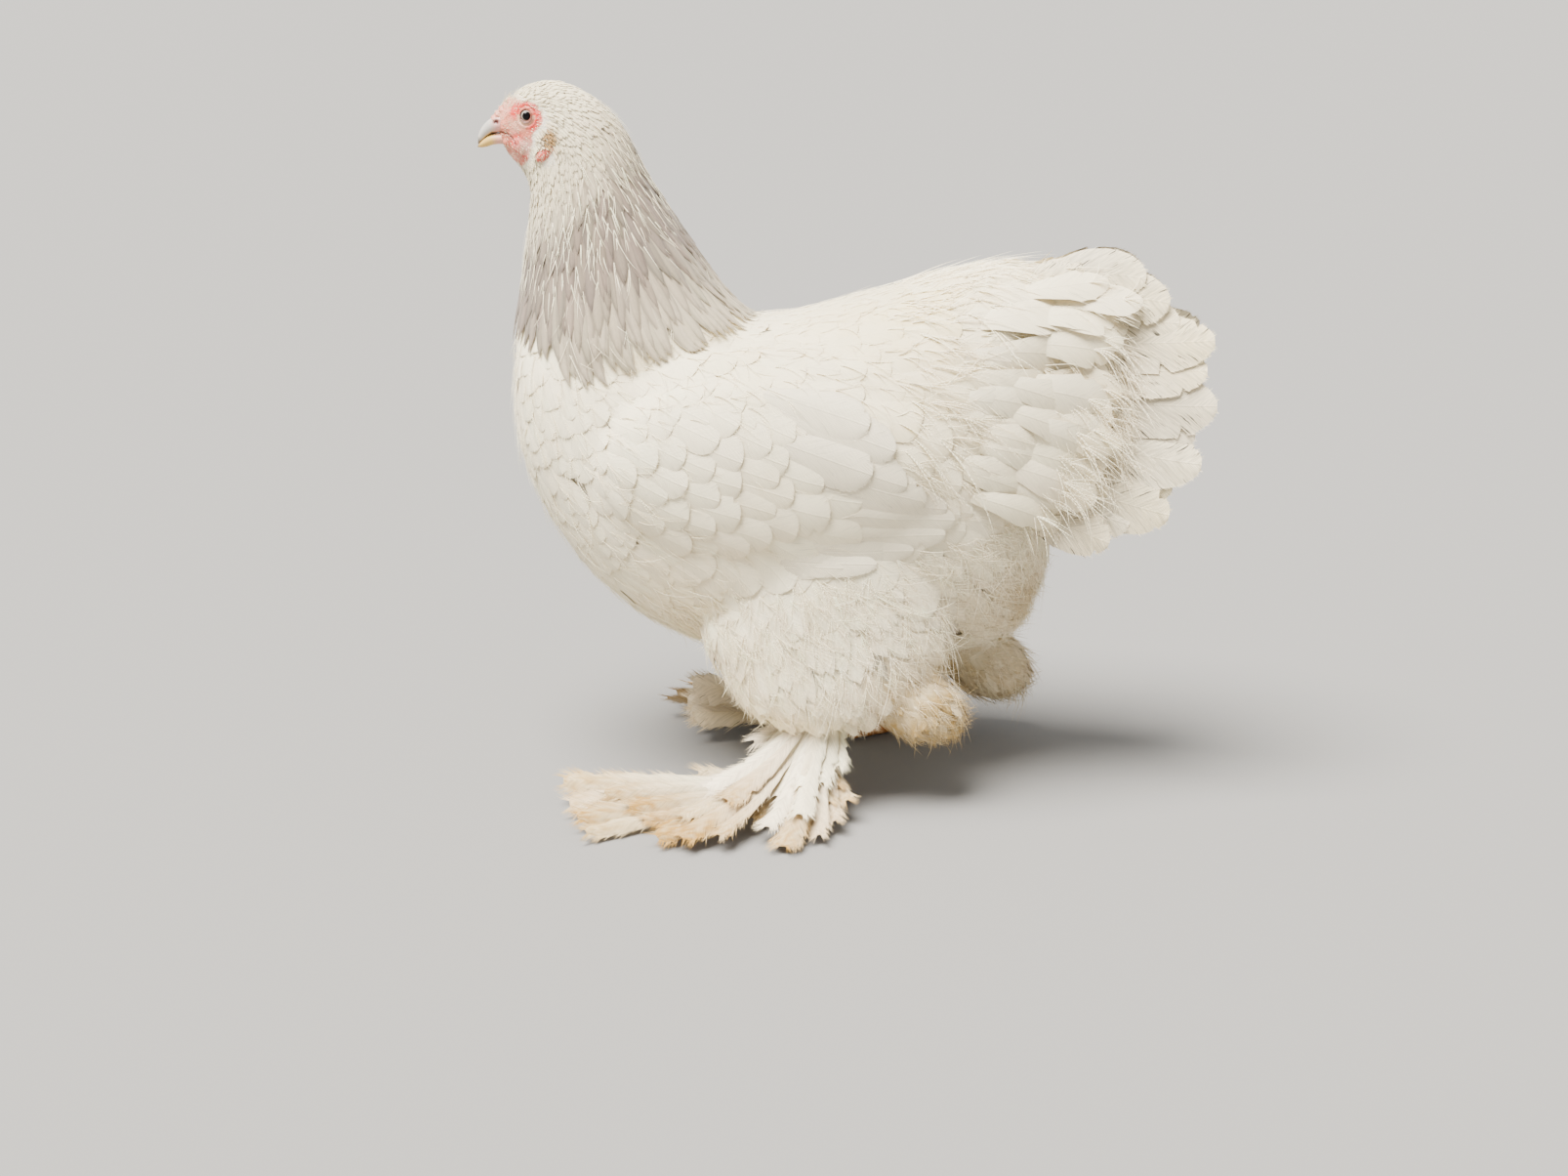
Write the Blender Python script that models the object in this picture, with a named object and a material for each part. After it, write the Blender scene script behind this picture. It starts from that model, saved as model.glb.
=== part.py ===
# A life-size brahma hen, standing with its left foot forward.
# Metres, +Z up. The hen looks along -X, its left side is -Y, and it stands on Z = 0.

import math
import random

import bmesh
import bpy
import numpy as np
from mathutils import Matrix, Vector
from mathutils.bvhtree import BVHTree

GAP = 0.0004  # room kept between touching pieces
# Facets that turn less than these are one facet
FLAT_AFTER_JOIN = math.radians(1.5)
FLAT_AFTER_CUT = math.radians(0.05)

# Torso: station X, lowest Z, highest Z, half width
TORSO = (
    (-0.2480, 0.262, 0.350, 0.046),
    (-0.2360, 0.226, 0.366, 0.068),
    (-0.2120, 0.186, 0.373, 0.086),
    (-0.1800, 0.150, 0.373, 0.100),
    (-0.1400, 0.124, 0.367, 0.110),
    (-0.0950, 0.108, 0.360, 0.116),
    (-0.0450, 0.102, 0.363, 0.118),
    (0.0050, 0.100, 0.377, 0.116),
    (0.0500, 0.101, 0.390, 0.110),
    (0.0900, 0.105, 0.401, 0.099),
    (0.1200, 0.112, 0.405, 0.083),
    (0.1420, 0.128, 0.400, 0.063),
    (0.1570, 0.162, 0.380, 0.040),
)
TORSO_FRONT = (-0.2540, 0.306)
TORSO_BACK = (0.1640, 0.280)

# Head and neck: a section's upper point X, Z, its lower point X, Z, and half width
NECK = (
    (-0.2640, 0.5120, -0.2600, 0.4820, 0.0090),
    (-0.2585, 0.5190, -0.2550, 0.4745, 0.0135),
    (-0.2460, 0.5300, -0.2475, 0.4690, 0.0190),
    (-0.2285, 0.5350, -0.2430, 0.4630, 0.0235),
    (-0.2130, 0.5330, -0.2405, 0.4540, 0.0262),
    (-0.1985, 0.5265, -0.2405, 0.4440, 0.0282),
    (-0.1850, 0.5170, -0.2415, 0.4340, 0.0302),
    (-0.1735, 0.5040, -0.2428, 0.4230, 0.0330),
    (-0.1650, 0.4890, -0.2442, 0.4120, 0.0370),
    (-0.1560, 0.4710, -0.2458, 0.4000, 0.0430),
    (-0.1440, 0.4520, -0.2475, 0.3880, 0.0505),
    (-0.1310, 0.4320, -0.2492, 0.3760, 0.0590),
    (-0.1180, 0.4120, -0.2508, 0.3640, 0.0680),
    (-0.1050, 0.3930, -0.2522, 0.3520, 0.0750),
    (-0.0910, 0.3760, -0.2530, 0.3390, 0.0815),
    (-0.0760, 0.3620, -0.2515, 0.3240, 0.0860),
    (-0.0640, 0.3440, -0.2460, 0.3020, 0.0860),
)
NECK_FRONT = (-0.2655, 0.4975)
NECK_BACK = (-0.1500, 0.3000)
NECK_RINGS = 18
HEAD_PART = ((-0.1735, 0.5040), (-0.2428, 0.4230))  # line along which the head leaves the neck

EYE_AT = (-0.2420, 0.0146, 0.5105)
EYE_RADIUS = 0.0050
EYE_FACING = (-0.24, 1.0, 0.14)
LID_THICKNESS = 0.0011
LID_OUT = 0.0030  # the lids' plane from the middle of the eye
LID_WIDTH = 0.92  # radius of the lids' ring as a share of the eye's

# Soft parts of one side of the head: middle, half sizes, facets round it
FACE = {
    "ear_tuft": ((-0.2240, 0.0232, 0.4930), (0.0075, 0.0040, 0.0095), 10),
    "ear_lobe": ((-0.2300, 0.0222, 0.4800), (0.0045, 0.0032, 0.0065), 10),
    "cheek": ((-0.2440, 0.0150, 0.4885), (0.0090, 0.0052, 0.0070), 12),
}
WATTLE = ((-0.2515, 0.0090, 0.4722), (0.0052, 0.0026, 0.0075))
WATTLE_LEAN = math.radians(-20)

# Pea comb: its base, then knobs in three rows of three
COMB_BASE = ((-0.2605, 0.0, 0.5165), (0.0080, 0.0040, 0.0036))
COMB_LEAN = 0.72
KNOB_ROWS = ((-0.0036, 0.0, 0.0024), (0.0, 0.0012, 0.0036), (0.0036, 0.0, 0.0024))  # Y, rise, height
KNOB_START, KNOB_STEP = (-0.2658, 0.5130), (0.0042, 0.0037)
KNOB_HALF = (0.0026, 0.0021)

# Legs: the left foot stands a stride ahead of the right one
STANCE = 0.080  # middle of a foot from the middle of the body
FOOT_X = {-1: -0.018, 1: 0.050}
HOCK_DROP = {-1: 0.0, 1: 0.020}
SHANK_RADIUS = 0.0080
HOCK_HEIGHT = 0.100

# Thigh fluff: level Z, front X, back X, middle Y, half width, for a foot at X = 0
THIGH = (
    (0.0690, -0.058, 0.050, 0.085, 0.026),
    (0.0770, -0.074, 0.066, 0.085, 0.034),
    (0.0920, -0.086, 0.080, 0.084, 0.039),
    (0.1120, -0.092, 0.092, 0.081, 0.042),
    (0.1350, -0.092, 0.098, 0.078, 0.044),
    (0.1600, -0.084, 0.092, 0.076, 0.045),
    (0.1850, -0.070, 0.078, 0.077, 0.042),
    (0.2080, -0.050, 0.058, 0.079, 0.037),
    (0.2260, -0.024, 0.032, 0.078, 0.030),
)

THIGH_LEAN = 0.45  # how much of the stride the top of the thigh shares
THIGH_TOP = 0.076  # its top's distance from the middle of the body

# Round puff of soft feather behind the hock: middle from the foot's X, Y, Z, half sizes, lean
PUFF_AT = (0.076, 0.083, 0.082)
PUFF_SIZE = (0.037, 0.030, 0.028)
PUFF_LEAN = math.radians(24)
# Locks of down that leave it: turn outwards and down from straight back in degrees, length
LOCKS = ((-38, -30, 0.048), (-6, -50, 0.042), (26, -22, 0.050), (8, 6, 0.050), (-20, -78, 0.034))
LOCK_RADII = (0.0150, 0.0115, 0.0050)
LOCK_SAG = 0.010

SIDES = {-1: "left", 1: "right"}


def clear_scene():
    for obj in list(bpy.data.objects):
        bpy.data.objects.remove(obj, do_unlink=True)


def collection(name, hidden=False):
    made = bpy.data.collections.new(name)
    bpy.context.scene.collection.children.link(made)
    made.hide_render = hidden
    return made


def material(name, rgb, roughness):
    mat = bpy.data.materials.new(name)
    mat.use_nodes = True
    shader = mat.node_tree.nodes["Principled BSDF"]
    shader.inputs["Base Color"].default_value = (*rgb, 1.0)
    shader.inputs["Roughness"].default_value = roughness
    return mat


def object_from(bm, name, where, grow=0.0):
    """An object of that mesh in triangles, facing outwards, its skin moved out by grow."""
    bmesh.ops.triangulate(bm, faces=bm.faces, quad_method="FIXED")
    if bm.calc_volume(signed=True) < 0:
        bmesh.ops.reverse_faces(bm, faces=bm.faces)
    if grow:
        bm.normal_update()
        moves = [v.normal * (grow * v.calc_shell_factor()) for v in bm.verts]
        for v, move in zip(bm.verts, moves):
            v.co += move
    mesh = bpy.data.meshes.new(name)
    bm.to_mesh(mesh)
    bm.free()
    obj = bpy.data.objects.new(name, mesh)
    where.objects.link(obj)
    return obj


def spline(table, count):
    """The rows of a table of sizes, resampled along a smooth curve."""
    rows = np.array(table, float)
    padded = np.vstack([2 * rows[0] - rows[1], rows, 2 * rows[-1] - rows[-2]])
    found = []
    for t in np.linspace(0, len(rows) - 1, count):
        i = min(int(t), len(rows) - 2)
        f = t - i
        a, b, c, d = padded[i : i + 4]
        bend, twist = 2 * a - 5 * b + 4 * c - d, 3 * b - a - 3 * c + d
        found.append(0.5 * (2 * b + (c - a) * f + bend * f**2 + twist * f**3))
    return found


def rounded_ring(centre, half_a, half_b, axis_a, axis_b, segments, squareness=2.2):
    """Points of a superellipse round centre."""
    ring = []
    for k in range(segments):
        angle = 2 * math.pi * k / segments
        c, s = math.cos(angle), math.sin(angle)
        a = math.copysign(abs(c) ** (2 / squareness), c) * half_a
        b = math.copysign(abs(s) ** (2 / squareness), s) * half_b
        ring.append(Vector(centre) + Vector(axis_a) * a + Vector(axis_b) * b)
    return ring


def loft(name, rings, first, last, where, grow=0.0):
    """A closed skin through rings of points, brought to a point at each end."""
    bm = bmesh.new()
    loops = [[bm.verts.new(p) for p in ring] for ring in rings]
    start, end = bm.verts.new(first), bm.verts.new(last)
    count = len(loops[0])
    for k in range(count):
        n = (k + 1) % count
        bm.faces.new((start, loops[0][n], loops[0][k]))
        bm.faces.new((end, loops[-1][k], loops[-1][n]))
        for low, high in zip(loops, loops[1:]):
            bm.faces.new((low[k], low[n], high[n], high[k]))
    bmesh.ops.recalc_face_normals(bm, faces=bm.faces)
    return object_from(bm, name, where, grow)


def upright_loft(name, table, front, back, rings, segments, where, grow=0.0):
    """A body whose sections stand across the X axis."""
    loops = []
    for x, low, high, width in spline(table, rings):
        centre = (x, 0, (low + high) / 2)
        loops.append(rounded_ring(centre, width, (high - low) / 2, (0, 1, 0), (0, 0, 1), segments, 2.35))
    return loft(name, loops, (front[0], 0, front[1]), (back[0], 0, back[1]), where, grow)


def torso_solid(name, where, grow=0.0):
    return upright_loft(name, TORSO, TORSO_FRONT, TORSO_BACK, 15, 26, where, grow)


def neck_rings():
    rings = []
    for top_x, top_z, low_x, low_z, width in spline(NECK, NECK_RINGS):
        top, low = Vector((top_x, 0, top_z)), Vector((low_x, 0, low_z))
        up = (top - low) / 2
        rings.append(rounded_ring((top + low) / 2, width, up.length, (0, 1, 0), up.normalized(), 20, 2.1))
    return rings


def neck_solid(name, where, grow=0.0):
    """Head and neck in one run, from the beak's root down to the shoulders."""
    first, last = NECK_FRONT, NECK_BACK
    return loft(name, neck_rings(), (first[0], 0, first[1]), (last[0], 0, last[1]), where, grow)


def thigh_solid(name, side, where, grow=0.0):
    loops = []
    low, high = THIGH[0][0], THIGH[-1][0]
    for z, front, back, middle, width in spline(THIGH, 10):
        share = 1 - (1 - THIGH_LEAN) * (z - low) / (high - low)
        x = FOOT_X[side] * share
        drop = HOCK_DROP[side] * (1 - (z - low) / (high - low)) * 0.5
        centre = (x + (front + back) / 2, side * middle, z - drop)
        loops.append(rounded_ring(centre, (back - front) / 2, width, (1, 0, 0), (0, 1, 0), 18, 2.1))
    first = (FOOT_X[side] + 0.004, side * THIGH[0][3], loops[0][0].z - 0.006)
    last = (FOOT_X[side] * THIGH_LEAN, side * THIGH_TOP, high + 0.006)
    return loft(name, loops, first, last, where, grow)


def puff_middle(side):
    x, y, z = PUFF_AT
    return Vector((FOOT_X[side] + x, side * y, z - HOCK_DROP[side]))


def hock_fluff(name, side, where, grow=0.0):
    """The round puff of soft feather behind the hock."""
    bm = bmesh.new()
    bmesh.ops.create_uvsphere(bm, u_segments=12, v_segments=7, radius=1.0)
    turn = Matrix.Rotation(PUFF_LEAN, 4, "Y")
    place = Matrix.Translation(puff_middle(side)) @ turn @ Matrix.Diagonal((*PUFF_SIZE, 1))
    bmesh.ops.transform(bm, matrix=place, verts=bm.verts)
    return object_from(bm, name, where, grow)


def ball(name, centre, size, where, segments=14, turn=None):
    bm = bmesh.new()
    bmesh.ops.create_uvsphere(bm, u_segments=segments, v_segments=max(5, segments // 2), radius=1.0)
    sizes = Matrix.Diagonal((*size, 1))
    matrix = Matrix.Translation(Vector(centre)) @ (turn or Matrix.Identity(4)) @ sizes
    bmesh.ops.transform(bm, matrix=matrix, verts=bm.verts)
    return object_from(bm, name, where)


def tube(name, points, radii, where, segments=10, point_end=True):
    """A round limb along points, its end pointed or flat."""
    rings = []
    for i, (point, radius) in enumerate(zip(points, radii)):
        after = points[min(i + 1, len(points) - 1)]
        before = points[max(i - 1, 0)]
        along = (Vector(after) - Vector(before)).normalized()
        across = along.cross(Vector((0, 0, 1)))
        if across.length < 0.3:
            across = Vector((0, 1, 0)) - along * along.y
        across.normalize()
        up = across.cross(along).normalized()
        rings.append(rounded_ring(point, radius, radius, across, up, segments, 2.0))
    ends = [Vector(points[0]), Vector(points[-1])]
    if point_end:
        ends[1] = ends[1] + (ends[1] - Vector(points[-2])).normalized() * radii[-1]
    return loft(name, rings, ends[0], ends[1], where)


def boolean(obj, tool, operation):
    """Joins or cuts obj by an object or a collection, and leaves it a plain mesh."""
    modifier = obj.modifiers.new("join", "BOOLEAN")
    modifier.operation = operation
    modifier.solver = "MANIFOLD"
    if isinstance(tool, bpy.types.Collection):
        modifier.operand_type = "COLLECTION"
        modifier.collection = tool
    else:
        modifier.object = tool
    graph = bpy.context.evaluated_depsgraph_get()
    mesh = bpy.data.meshes.new_from_object(obj.evaluated_get(graph))
    obj.modifiers.clear()
    obj.data = mesh


def join(obj, pieces):
    """Unites obj with its pieces, which are then removed."""
    group = collection(obj.name + "_pieces")
    for piece in pieces:
        for owner in list(piece.users_collection):
            owner.objects.unlink(piece)
        group.objects.link(piece)
    bpy.context.view_layer.update()
    boolean(obj, group, "UNION")
    for piece in pieces:
        bpy.data.objects.remove(piece, do_unlink=True)
    bpy.data.collections.remove(group)
    keep_largest(obj)
    smooth_out(obj, FLAT_AFTER_JOIN)


def cut(obj, cutters):
    for cutter in cutters:
        bpy.context.view_layer.update()
        boolean(obj, cutter, "DIFFERENCE")
    keep_largest(obj)
    smooth_out(obj, FLAT_AFTER_CUT)


def smooth_out(obj, angle):
    """Takes out the edges that a union or a cut leaves across a flat facet."""
    bm = bmesh.new()
    bm.from_mesh(obj.data)
    bmesh.ops.dissolve_limit(bm, angle_limit=angle, verts=bm.verts, edges=bm.edges)
    bmesh.ops.triangulate(bm, faces=bm.faces)
    bm.to_mesh(obj.data)
    bm.free()


def keep_largest(obj):
    """Drops every closed surface of a node but its largest."""
    bm = bmesh.new()
    bm.from_mesh(obj.data)
    bmesh.ops.remove_doubles(bm, verts=bm.verts, dist=2e-6)
    bm.faces.ensure_lookup_table()
    seen, groups = set(), []
    for face in bm.faces:
        if face.index in seen:
            continue
        stack, group = [face], []
        seen.add(face.index)
        while stack:
            current = stack.pop()
            group.append(current)
            for edge in current.edges:
                for other in edge.link_faces:
                    if other.index not in seen:
                        seen.add(other.index)
                        stack.append(other)
        groups.append(group)

    def volume(group):
        total = 0.0
        for f in group:
            a = f.verts[0].co
            for p, q in zip(f.verts[1:], f.verts[2:]):
                total += a.dot(p.co.cross(q.co)) / 6
        return total

    groups.sort(key=volume, reverse=True)
    for group in groups[1:]:
        bmesh.ops.delete(bm, geom=group, context="FACES")
    loose = [v for v in bm.verts if not v.link_faces]
    bmesh.ops.delete(bm, geom=loose, context="VERTS")
    bm.to_mesh(obj.data)
    bm.free()


def half_space(name, point, facing, where):
    """A large block that takes away all on the far side of a plane, the side it faces."""
    bm = bmesh.new()
    bmesh.ops.create_cube(bm, size=1.0)
    facing = Vector(facing).normalized()
    turn = Vector((0, 0, 1)).rotation_difference(facing).to_matrix().to_4x4()
    place = Matrix.Translation(Vector(point) + facing * 0.5)
    bmesh.ops.transform(bm, matrix=place @ turn, verts=bm.verts)
    return object_from(bm, name, where)


def nape_plane(name, above, where):
    """The block that parts head from neck, on either side of a cut one gap wide."""
    (back_x, back_z), (front_x, front_z) = HEAD_PART
    normal = Vector((back_z - front_z, 0, front_x - back_x)).normalized()
    if normal.z < 0:
        normal = -normal
    middle = Vector(((back_x + front_x) / 2, 0, (back_z + front_z) / 2))
    facing = normal if above else -normal
    return half_space(name, middle - facing * GAP / 2, facing, where)


def tree_of(objects):
    """A search tree over the surfaces of several objects."""
    verts, faces = [], []
    for obj in objects:
        base = len(verts)
        verts += [v.co.copy() for v in obj.data.vertices]
        faces += [[base + i for i in p.vertices] for p in obj.data.polygons]
    return BVHTree.FromPolygons(verts, faces)


def station(i, steps):
    """Share of a feather's length at its i-th cross section: closer together towards the tip."""
    return 1 - (1 - i / steps) ** 1.35


def drape(tree, start, heading, length, steps):
    """A line of that length laid on a surface: its points and the surface's normals there."""
    point, normal, _, _ = tree.find_nearest(Vector(start))
    heading = Vector(heading)
    line = [(point, normal)]
    for i in range(steps):
        stride = length * (station(i + 1, steps) - station(i, steps))
        heading = (heading - normal * heading.dot(normal)).normalized()
        point, normal, _, _ = tree.find_nearest(point + heading * stride)
        line.append((point, normal))
    return line


def straight(start, tip, normal, bow, steps):
    """A free feather's line from start to tip, bowed along its normal."""
    start, tip, normal = Vector(start), Vector(tip), Vector(normal)
    line = []
    for i in range(steps + 1):
        t = station(i, steps)
        line.append((start.lerp(tip, t) + normal * bow * 4 * t * (1 - t), normal))
    return line


def round_tip(t):
    """Half width of a broad feather along its length, as a share of the widest."""
    return min(1.0, 0.34 + 1.4 * t) * math.sqrt(1 - max(0.0, (t - 0.62) / 0.41) ** 2.4)


def spear_tip(t):
    """The same for a pointed hackle feather."""
    return max(0.25, min(1.0, 0.45 + 1.6 * t)) * max(0.0, 1 - max(0.0, (t - 0.45) / 0.57) ** 1.5)


def vane(name, line, half_width, profile, where, lift=(0.0, 0.0), thickness=0.0009, tilt=0.0, across=1):
    """A feather's vane: a thin sheet along a line, raised from it by lift at root and tip.

    Tilt raises one edge and lowers the other, so that neighbours overlap like tiles.
    """
    bm = bmesh.new()
    steps = len(line) - 1
    bmesh.ops.create_grid(bm, x_segments=across, y_segments=steps, size=1.0)
    for v in bm.verts:
        i = round((v.co.y + 1) / 2 * steps)
        t = station(i, steps)
        point, normal = line[i]
        along = (line[min(i + 1, steps)][0] - line[max(i - 1, 0)][0]).normalized()
        side = along.cross(normal).normalized()
        width = half_width * profile(t)
        crown = 0.14 * half_width * (1 - v.co.x**2)
        out = lift[0] + (lift[1] - lift[0]) * t + tilt * v.co.x * (width / half_width) + crown
        v.co = point + side * (v.co.x * width) + normal * out
    bmesh.ops.triangulate(bm, faces=bm.faces)
    bmesh.ops.recalc_face_normals(bm, faces=bm.faces)
    bmesh.ops.solidify(bm, geom=bm.faces, thickness=thickness)
    bmesh.ops.recalc_face_normals(bm, faces=bm.faces)
    return object_from(bm, name, where)


def head_node(where, tools):
    head = neck_solid("head", where)
    pieces = []
    for side in SIDES:
        pieces.append(lid_ring("lid", side, where))
        for name, ((x, y, z), size, facets) in FACE.items():
            pieces.append(ball(name, (x, side * y, z), size, where, facets))
    join(head, pieces)
    cut(head, [nape_plane("below_head", False, tools)])
    cut(head, [eye_ball("socket", side, tools, GAP) for side in SIDES])
    return head


def lid_ring(name, side, where):
    """The swollen rim of skin round one eye."""
    steps, facets = 14, 6
    x, y, z = EYE_AT
    out = Vector((EYE_FACING[0], side * EYE_FACING[1], EYE_FACING[2])).normalized()
    centre = Vector((x, side * y, z)) + out * LID_OUT
    across = Vector((1, 0, 0)) - out * out.x
    across.normalize()
    up = out.cross(across)
    bm = bmesh.new()
    rings = []
    for i in range(steps):
        angle = 2 * math.pi * i / steps
        radial = across * math.cos(angle) + up * math.sin(angle)
        hub = centre + radial * EYE_RADIUS * LID_WIDTH
        ring = rounded_ring(hub, LID_THICKNESS, LID_THICKNESS, radial, out, facets, 2.0)
        rings.append([bm.verts.new(p) for p in ring])
    for i in range(steps):
        one, two = rings[i], rings[(i + 1) % steps]
        for k in range(facets):
            n = (k + 1) % facets
            bm.faces.new((one[k], one[n], two[n], two[k]))
    bmesh.ops.recalc_face_normals(bm, faces=bm.faces)
    return object_from(bm, name, where)


def eye_ball(name, side, where, grow=0.0):
    x, y, z = EYE_AT
    radius = EYE_RADIUS + grow
    return ball(name, (x, side * y, z), (radius, radius, radius), where, 12)


# Beak halves: middle X, Z of a section, half height, half width
BEAK_UPPER = (
    (-0.2545, 0.5025, 0.0082, 0.0078),
    (-0.2630, 0.5005, 0.0078, 0.0070),
    (-0.2700, 0.4962, 0.0062, 0.0055),
    (-0.2757, 0.4908, 0.0042, 0.0037),
    (-0.2795, 0.4866, 0.0022, 0.0020),
)
BEAK_LOWER = (
    (-0.2545, 0.4878, 0.0056, 0.0066),
    (-0.2630, 0.4868, 0.0052, 0.0058),
    (-0.2700, 0.4856, 0.0042, 0.0045),
    (-0.2752, 0.4842, 0.0028, 0.0030),
)
BEAK_TIP = {True: (-0.2815, 0.4836), False: (-0.2783, 0.4826)}
NOSTRIL = (-0.2668, 0.0056, 0.5012)
NOSTRIL_SIZE = (0.0019, 0.0022, 0.0009)
NOSTRIL_LEAN = math.radians(25)


def beak_half(name, top, where, grow=0.0):
    """One mandible: the upper curves down over the tip of the lower."""
    table = BEAK_UPPER if top else BEAK_LOWER
    rings = []
    for i, (x, z, height, width) in enumerate(table):
        after, before = table[min(i + 1, len(table) - 1)], table[max(i - 1, 0)]
        along = Vector((after[0] - before[0], 0, after[1] - before[1])).normalized()
        up = Vector((-along.z, 0, along.x)) * -1
        rings.append(rounded_ring((x, 0, z), width, height, (0, 1, 0), up, 12, 2.0))
    tip = BEAK_TIP[top]
    return loft(name, rings, (table[0][0] + 0.002, 0, table[0][1]), (tip[0], 0, tip[1]), where, grow)


def beak_nodes(where, tools, face):
    upper, lower = beak_half("beak_upper", True, where), beak_half("beak_lower", False, where)
    cut(lower, face + [beak_half("upper_room", True, tools, GAP)])
    nostrils = []
    for side in SIDES:
        x, y, z = NOSTRIL
        turn = Matrix.Rotation(NOSTRIL_LEAN, 4, "Y")
        nostrils.append(ball("nostril", (x, side * y, z), NOSTRIL_SIZE, tools, 8, turn))
    cut(upper, face + nostrils)
    return upper, lower


def comb_node(where, cutters):
    """A low pea comb: three rows of small knobs, the middle one taller."""
    comb = ball("comb", *COMB_BASE, where, 8, Matrix.Rotation(COMB_LEAN, 4, "Y"))
    pieces = []
    for y, rise, height in KNOB_ROWS:
        for k in range(3):
            x = KNOB_START[0] + KNOB_STEP[0] * k
            z = KNOB_START[1] + KNOB_STEP[1] * k + rise
            pieces.append(ball("knob", (x, y, z), (*KNOB_HALF, height), where, 6))
    join(comb, pieces)
    cut(comb, cutters)
    return comb


def wattle_node(side, where, cutters):
    (x, y, z), size = WATTLE
    turn = Matrix.Rotation(WATTLE_LEAN, 4, "Y")
    wattle = ball(f"wattle_{SIDES[side]}", (x, side * y, z), size, where, 12, turn)
    cut(wattle, cutters)
    return wattle


# Hackle tiers: place along the neck's rings, how many round it, length, half width
HACKLE = (
    (9.4, 9, 0.046, 0.0150),
    (11.2, 10, 0.050, 0.0175),
    (13.0, 11, 0.054, 0.0190),
)
HACKLE_ROOT, HACKLE_RISE = -0.0022, 0.0036  # depth of a feather's root and height of its tip
HACKLE_TILT = -0.0009


def hackle(neck, tree, where):
    """Tiers of pointed feathers down the neck, the lowest lying on breast and shoulders."""
    chance = random.Random(11)
    rings = neck_rings()
    segments = len(rings[0])
    pieces = []
    for tier, (place, count, length, half_width) in enumerate(HACKLE):
        for k in range(count):
            around = (k + 0.5 * (tier % 2)) / count * segments
            i, low = int(around) % segments, int(place)
            j, f, g = (i + 1) % segments, around % 1.0, place - low
            upper = rings[low][i].lerp(rings[low][j], f)
            lower = rings[low + 1][i].lerp(rings[low + 1][j], f)
            start = upper.lerp(lower, g)
            line = drape(tree, start, lower - upper, length * chance.uniform(0.88, 1.12), 3)
            lift = (HACKLE_ROOT, HACKLE_RISE)
            pieces.append(vane("hackle", line, half_width, spear_tip, where, lift, 0.0010, HACKLE_TILT))
    join(neck, pieces)


def neck_node(where, tools, tree):
    neck = neck_solid("neck", where)
    hackle(neck, tree, where)
    cut(neck, [nape_plane("above_neck", True, tools), torso_solid("torso_room", tools, GAP)])
    return neck


# A wing's tiers: how many vanes, root X, Z of the first and the last, length, half width
WING_TIERS = (
    (3, (-0.170, 0.288), (-0.162, 0.238), 0.056, 0.0185),
    (4, (-0.136, 0.308), (-0.120, 0.224), 0.070, 0.0190),
    (4, (-0.088, 0.318), (-0.072, 0.218), 0.086, 0.0220),
    (4, (-0.036, 0.316), (-0.022, 0.214), 0.102, 0.0220),
    (5, (0.012, 0.288), (0.014, 0.212), 0.114, 0.0130),
)
WING_ROOT, WING_RISE = -0.0020, 0.0040
TIER_BOW = 0.012  # how far the middle of a tier's roots lies behind its ends
WING_SLOPE = (-0.26, 0.34)  # the first feather's heading and its change to the last
WING_TILT = -0.0016
SHOULDER = ((-0.060, 0.262), (0.124, 0.072), 0.016)  # middle X, Z, half sizes, height


def shoulder_pad(name, side, tree, where):
    """The wing's folded arm: a low lens lying on the body's side."""
    (middle_x, middle_z), (size_x, size_z), height = SHOULDER
    bm = bmesh.new()
    bmesh.ops.create_uvsphere(bm, u_segments=16, v_segments=8, radius=1.0)
    for v in bm.verts:
        a, b, c = v.co
        origin = (middle_x + a * size_x, side * 0.30, middle_z + b * size_z)
        point, normal, _, _ = tree.ray_cast(origin, (0, -side, 0))
        v.co = point + normal * (c * height if c > 0 else c * 0.004)
    bmesh.ops.recalc_face_normals(bm, faces=bm.faces)
    return object_from(bm, name, where)


def wing_node(side, where, tools, bodies):
    """A folded wing: the arm under tiers of vanes, each tier over the roots of the next."""
    wing = shoulder_pad(f"wing_{SIDES[side]}", side, tree_of(bodies), where)
    tree = tree_of(bodies + [wing])
    pieces = []
    chance = random.Random(23)
    for count, first, last, length, half_width in WING_TIERS:
        for k in range(count):
            share = k / (count - 1)
            x = first[0] + (last[0] - first[0]) * share
            z = first[1] + (last[1] - first[1]) * share
            bulge = 4 * share * (1 - share)
            start, _, _, _ = tree.ray_cast((x + TIER_BOW * bulge, side * 0.30, z), (0, -side, 0))
            heading = Vector((1.0, 0, WING_SLOPE[0] + WING_SLOPE[1] * share))
            steps = 4 if length > 0.11 else 3
            line = drape(tree, start, heading, length * chance.uniform(0.94, 1.05), steps)
            lift = (WING_ROOT, WING_RISE)
            pieces.append(vane("vane", line, half_width, round_tip, where, lift, 0.0009, side * WING_TILT))
    join(wing, pieces)
    cut(wing, [torso_solid("torso_room", tools, GAP), thigh_solid("thigh_room", side, tools, GAP)])
    return wing


# Tail root: station X, lowest Z, highest Z, half width
TAIL_ROOT = (
    (0.1000, 0.262, 0.398, 0.064),
    (0.1350, 0.256, 0.402, 0.060),
    (0.1600, 0.258, 0.402, 0.050),
    (0.1850, 0.272, 0.398, 0.037),
    (0.2050, 0.298, 0.388, 0.022),
)
TAIL_ROOT_FRONT = (0.0900, 0.335)
TAIL_ROOT_BACK = (0.2140, 0.350)

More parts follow.
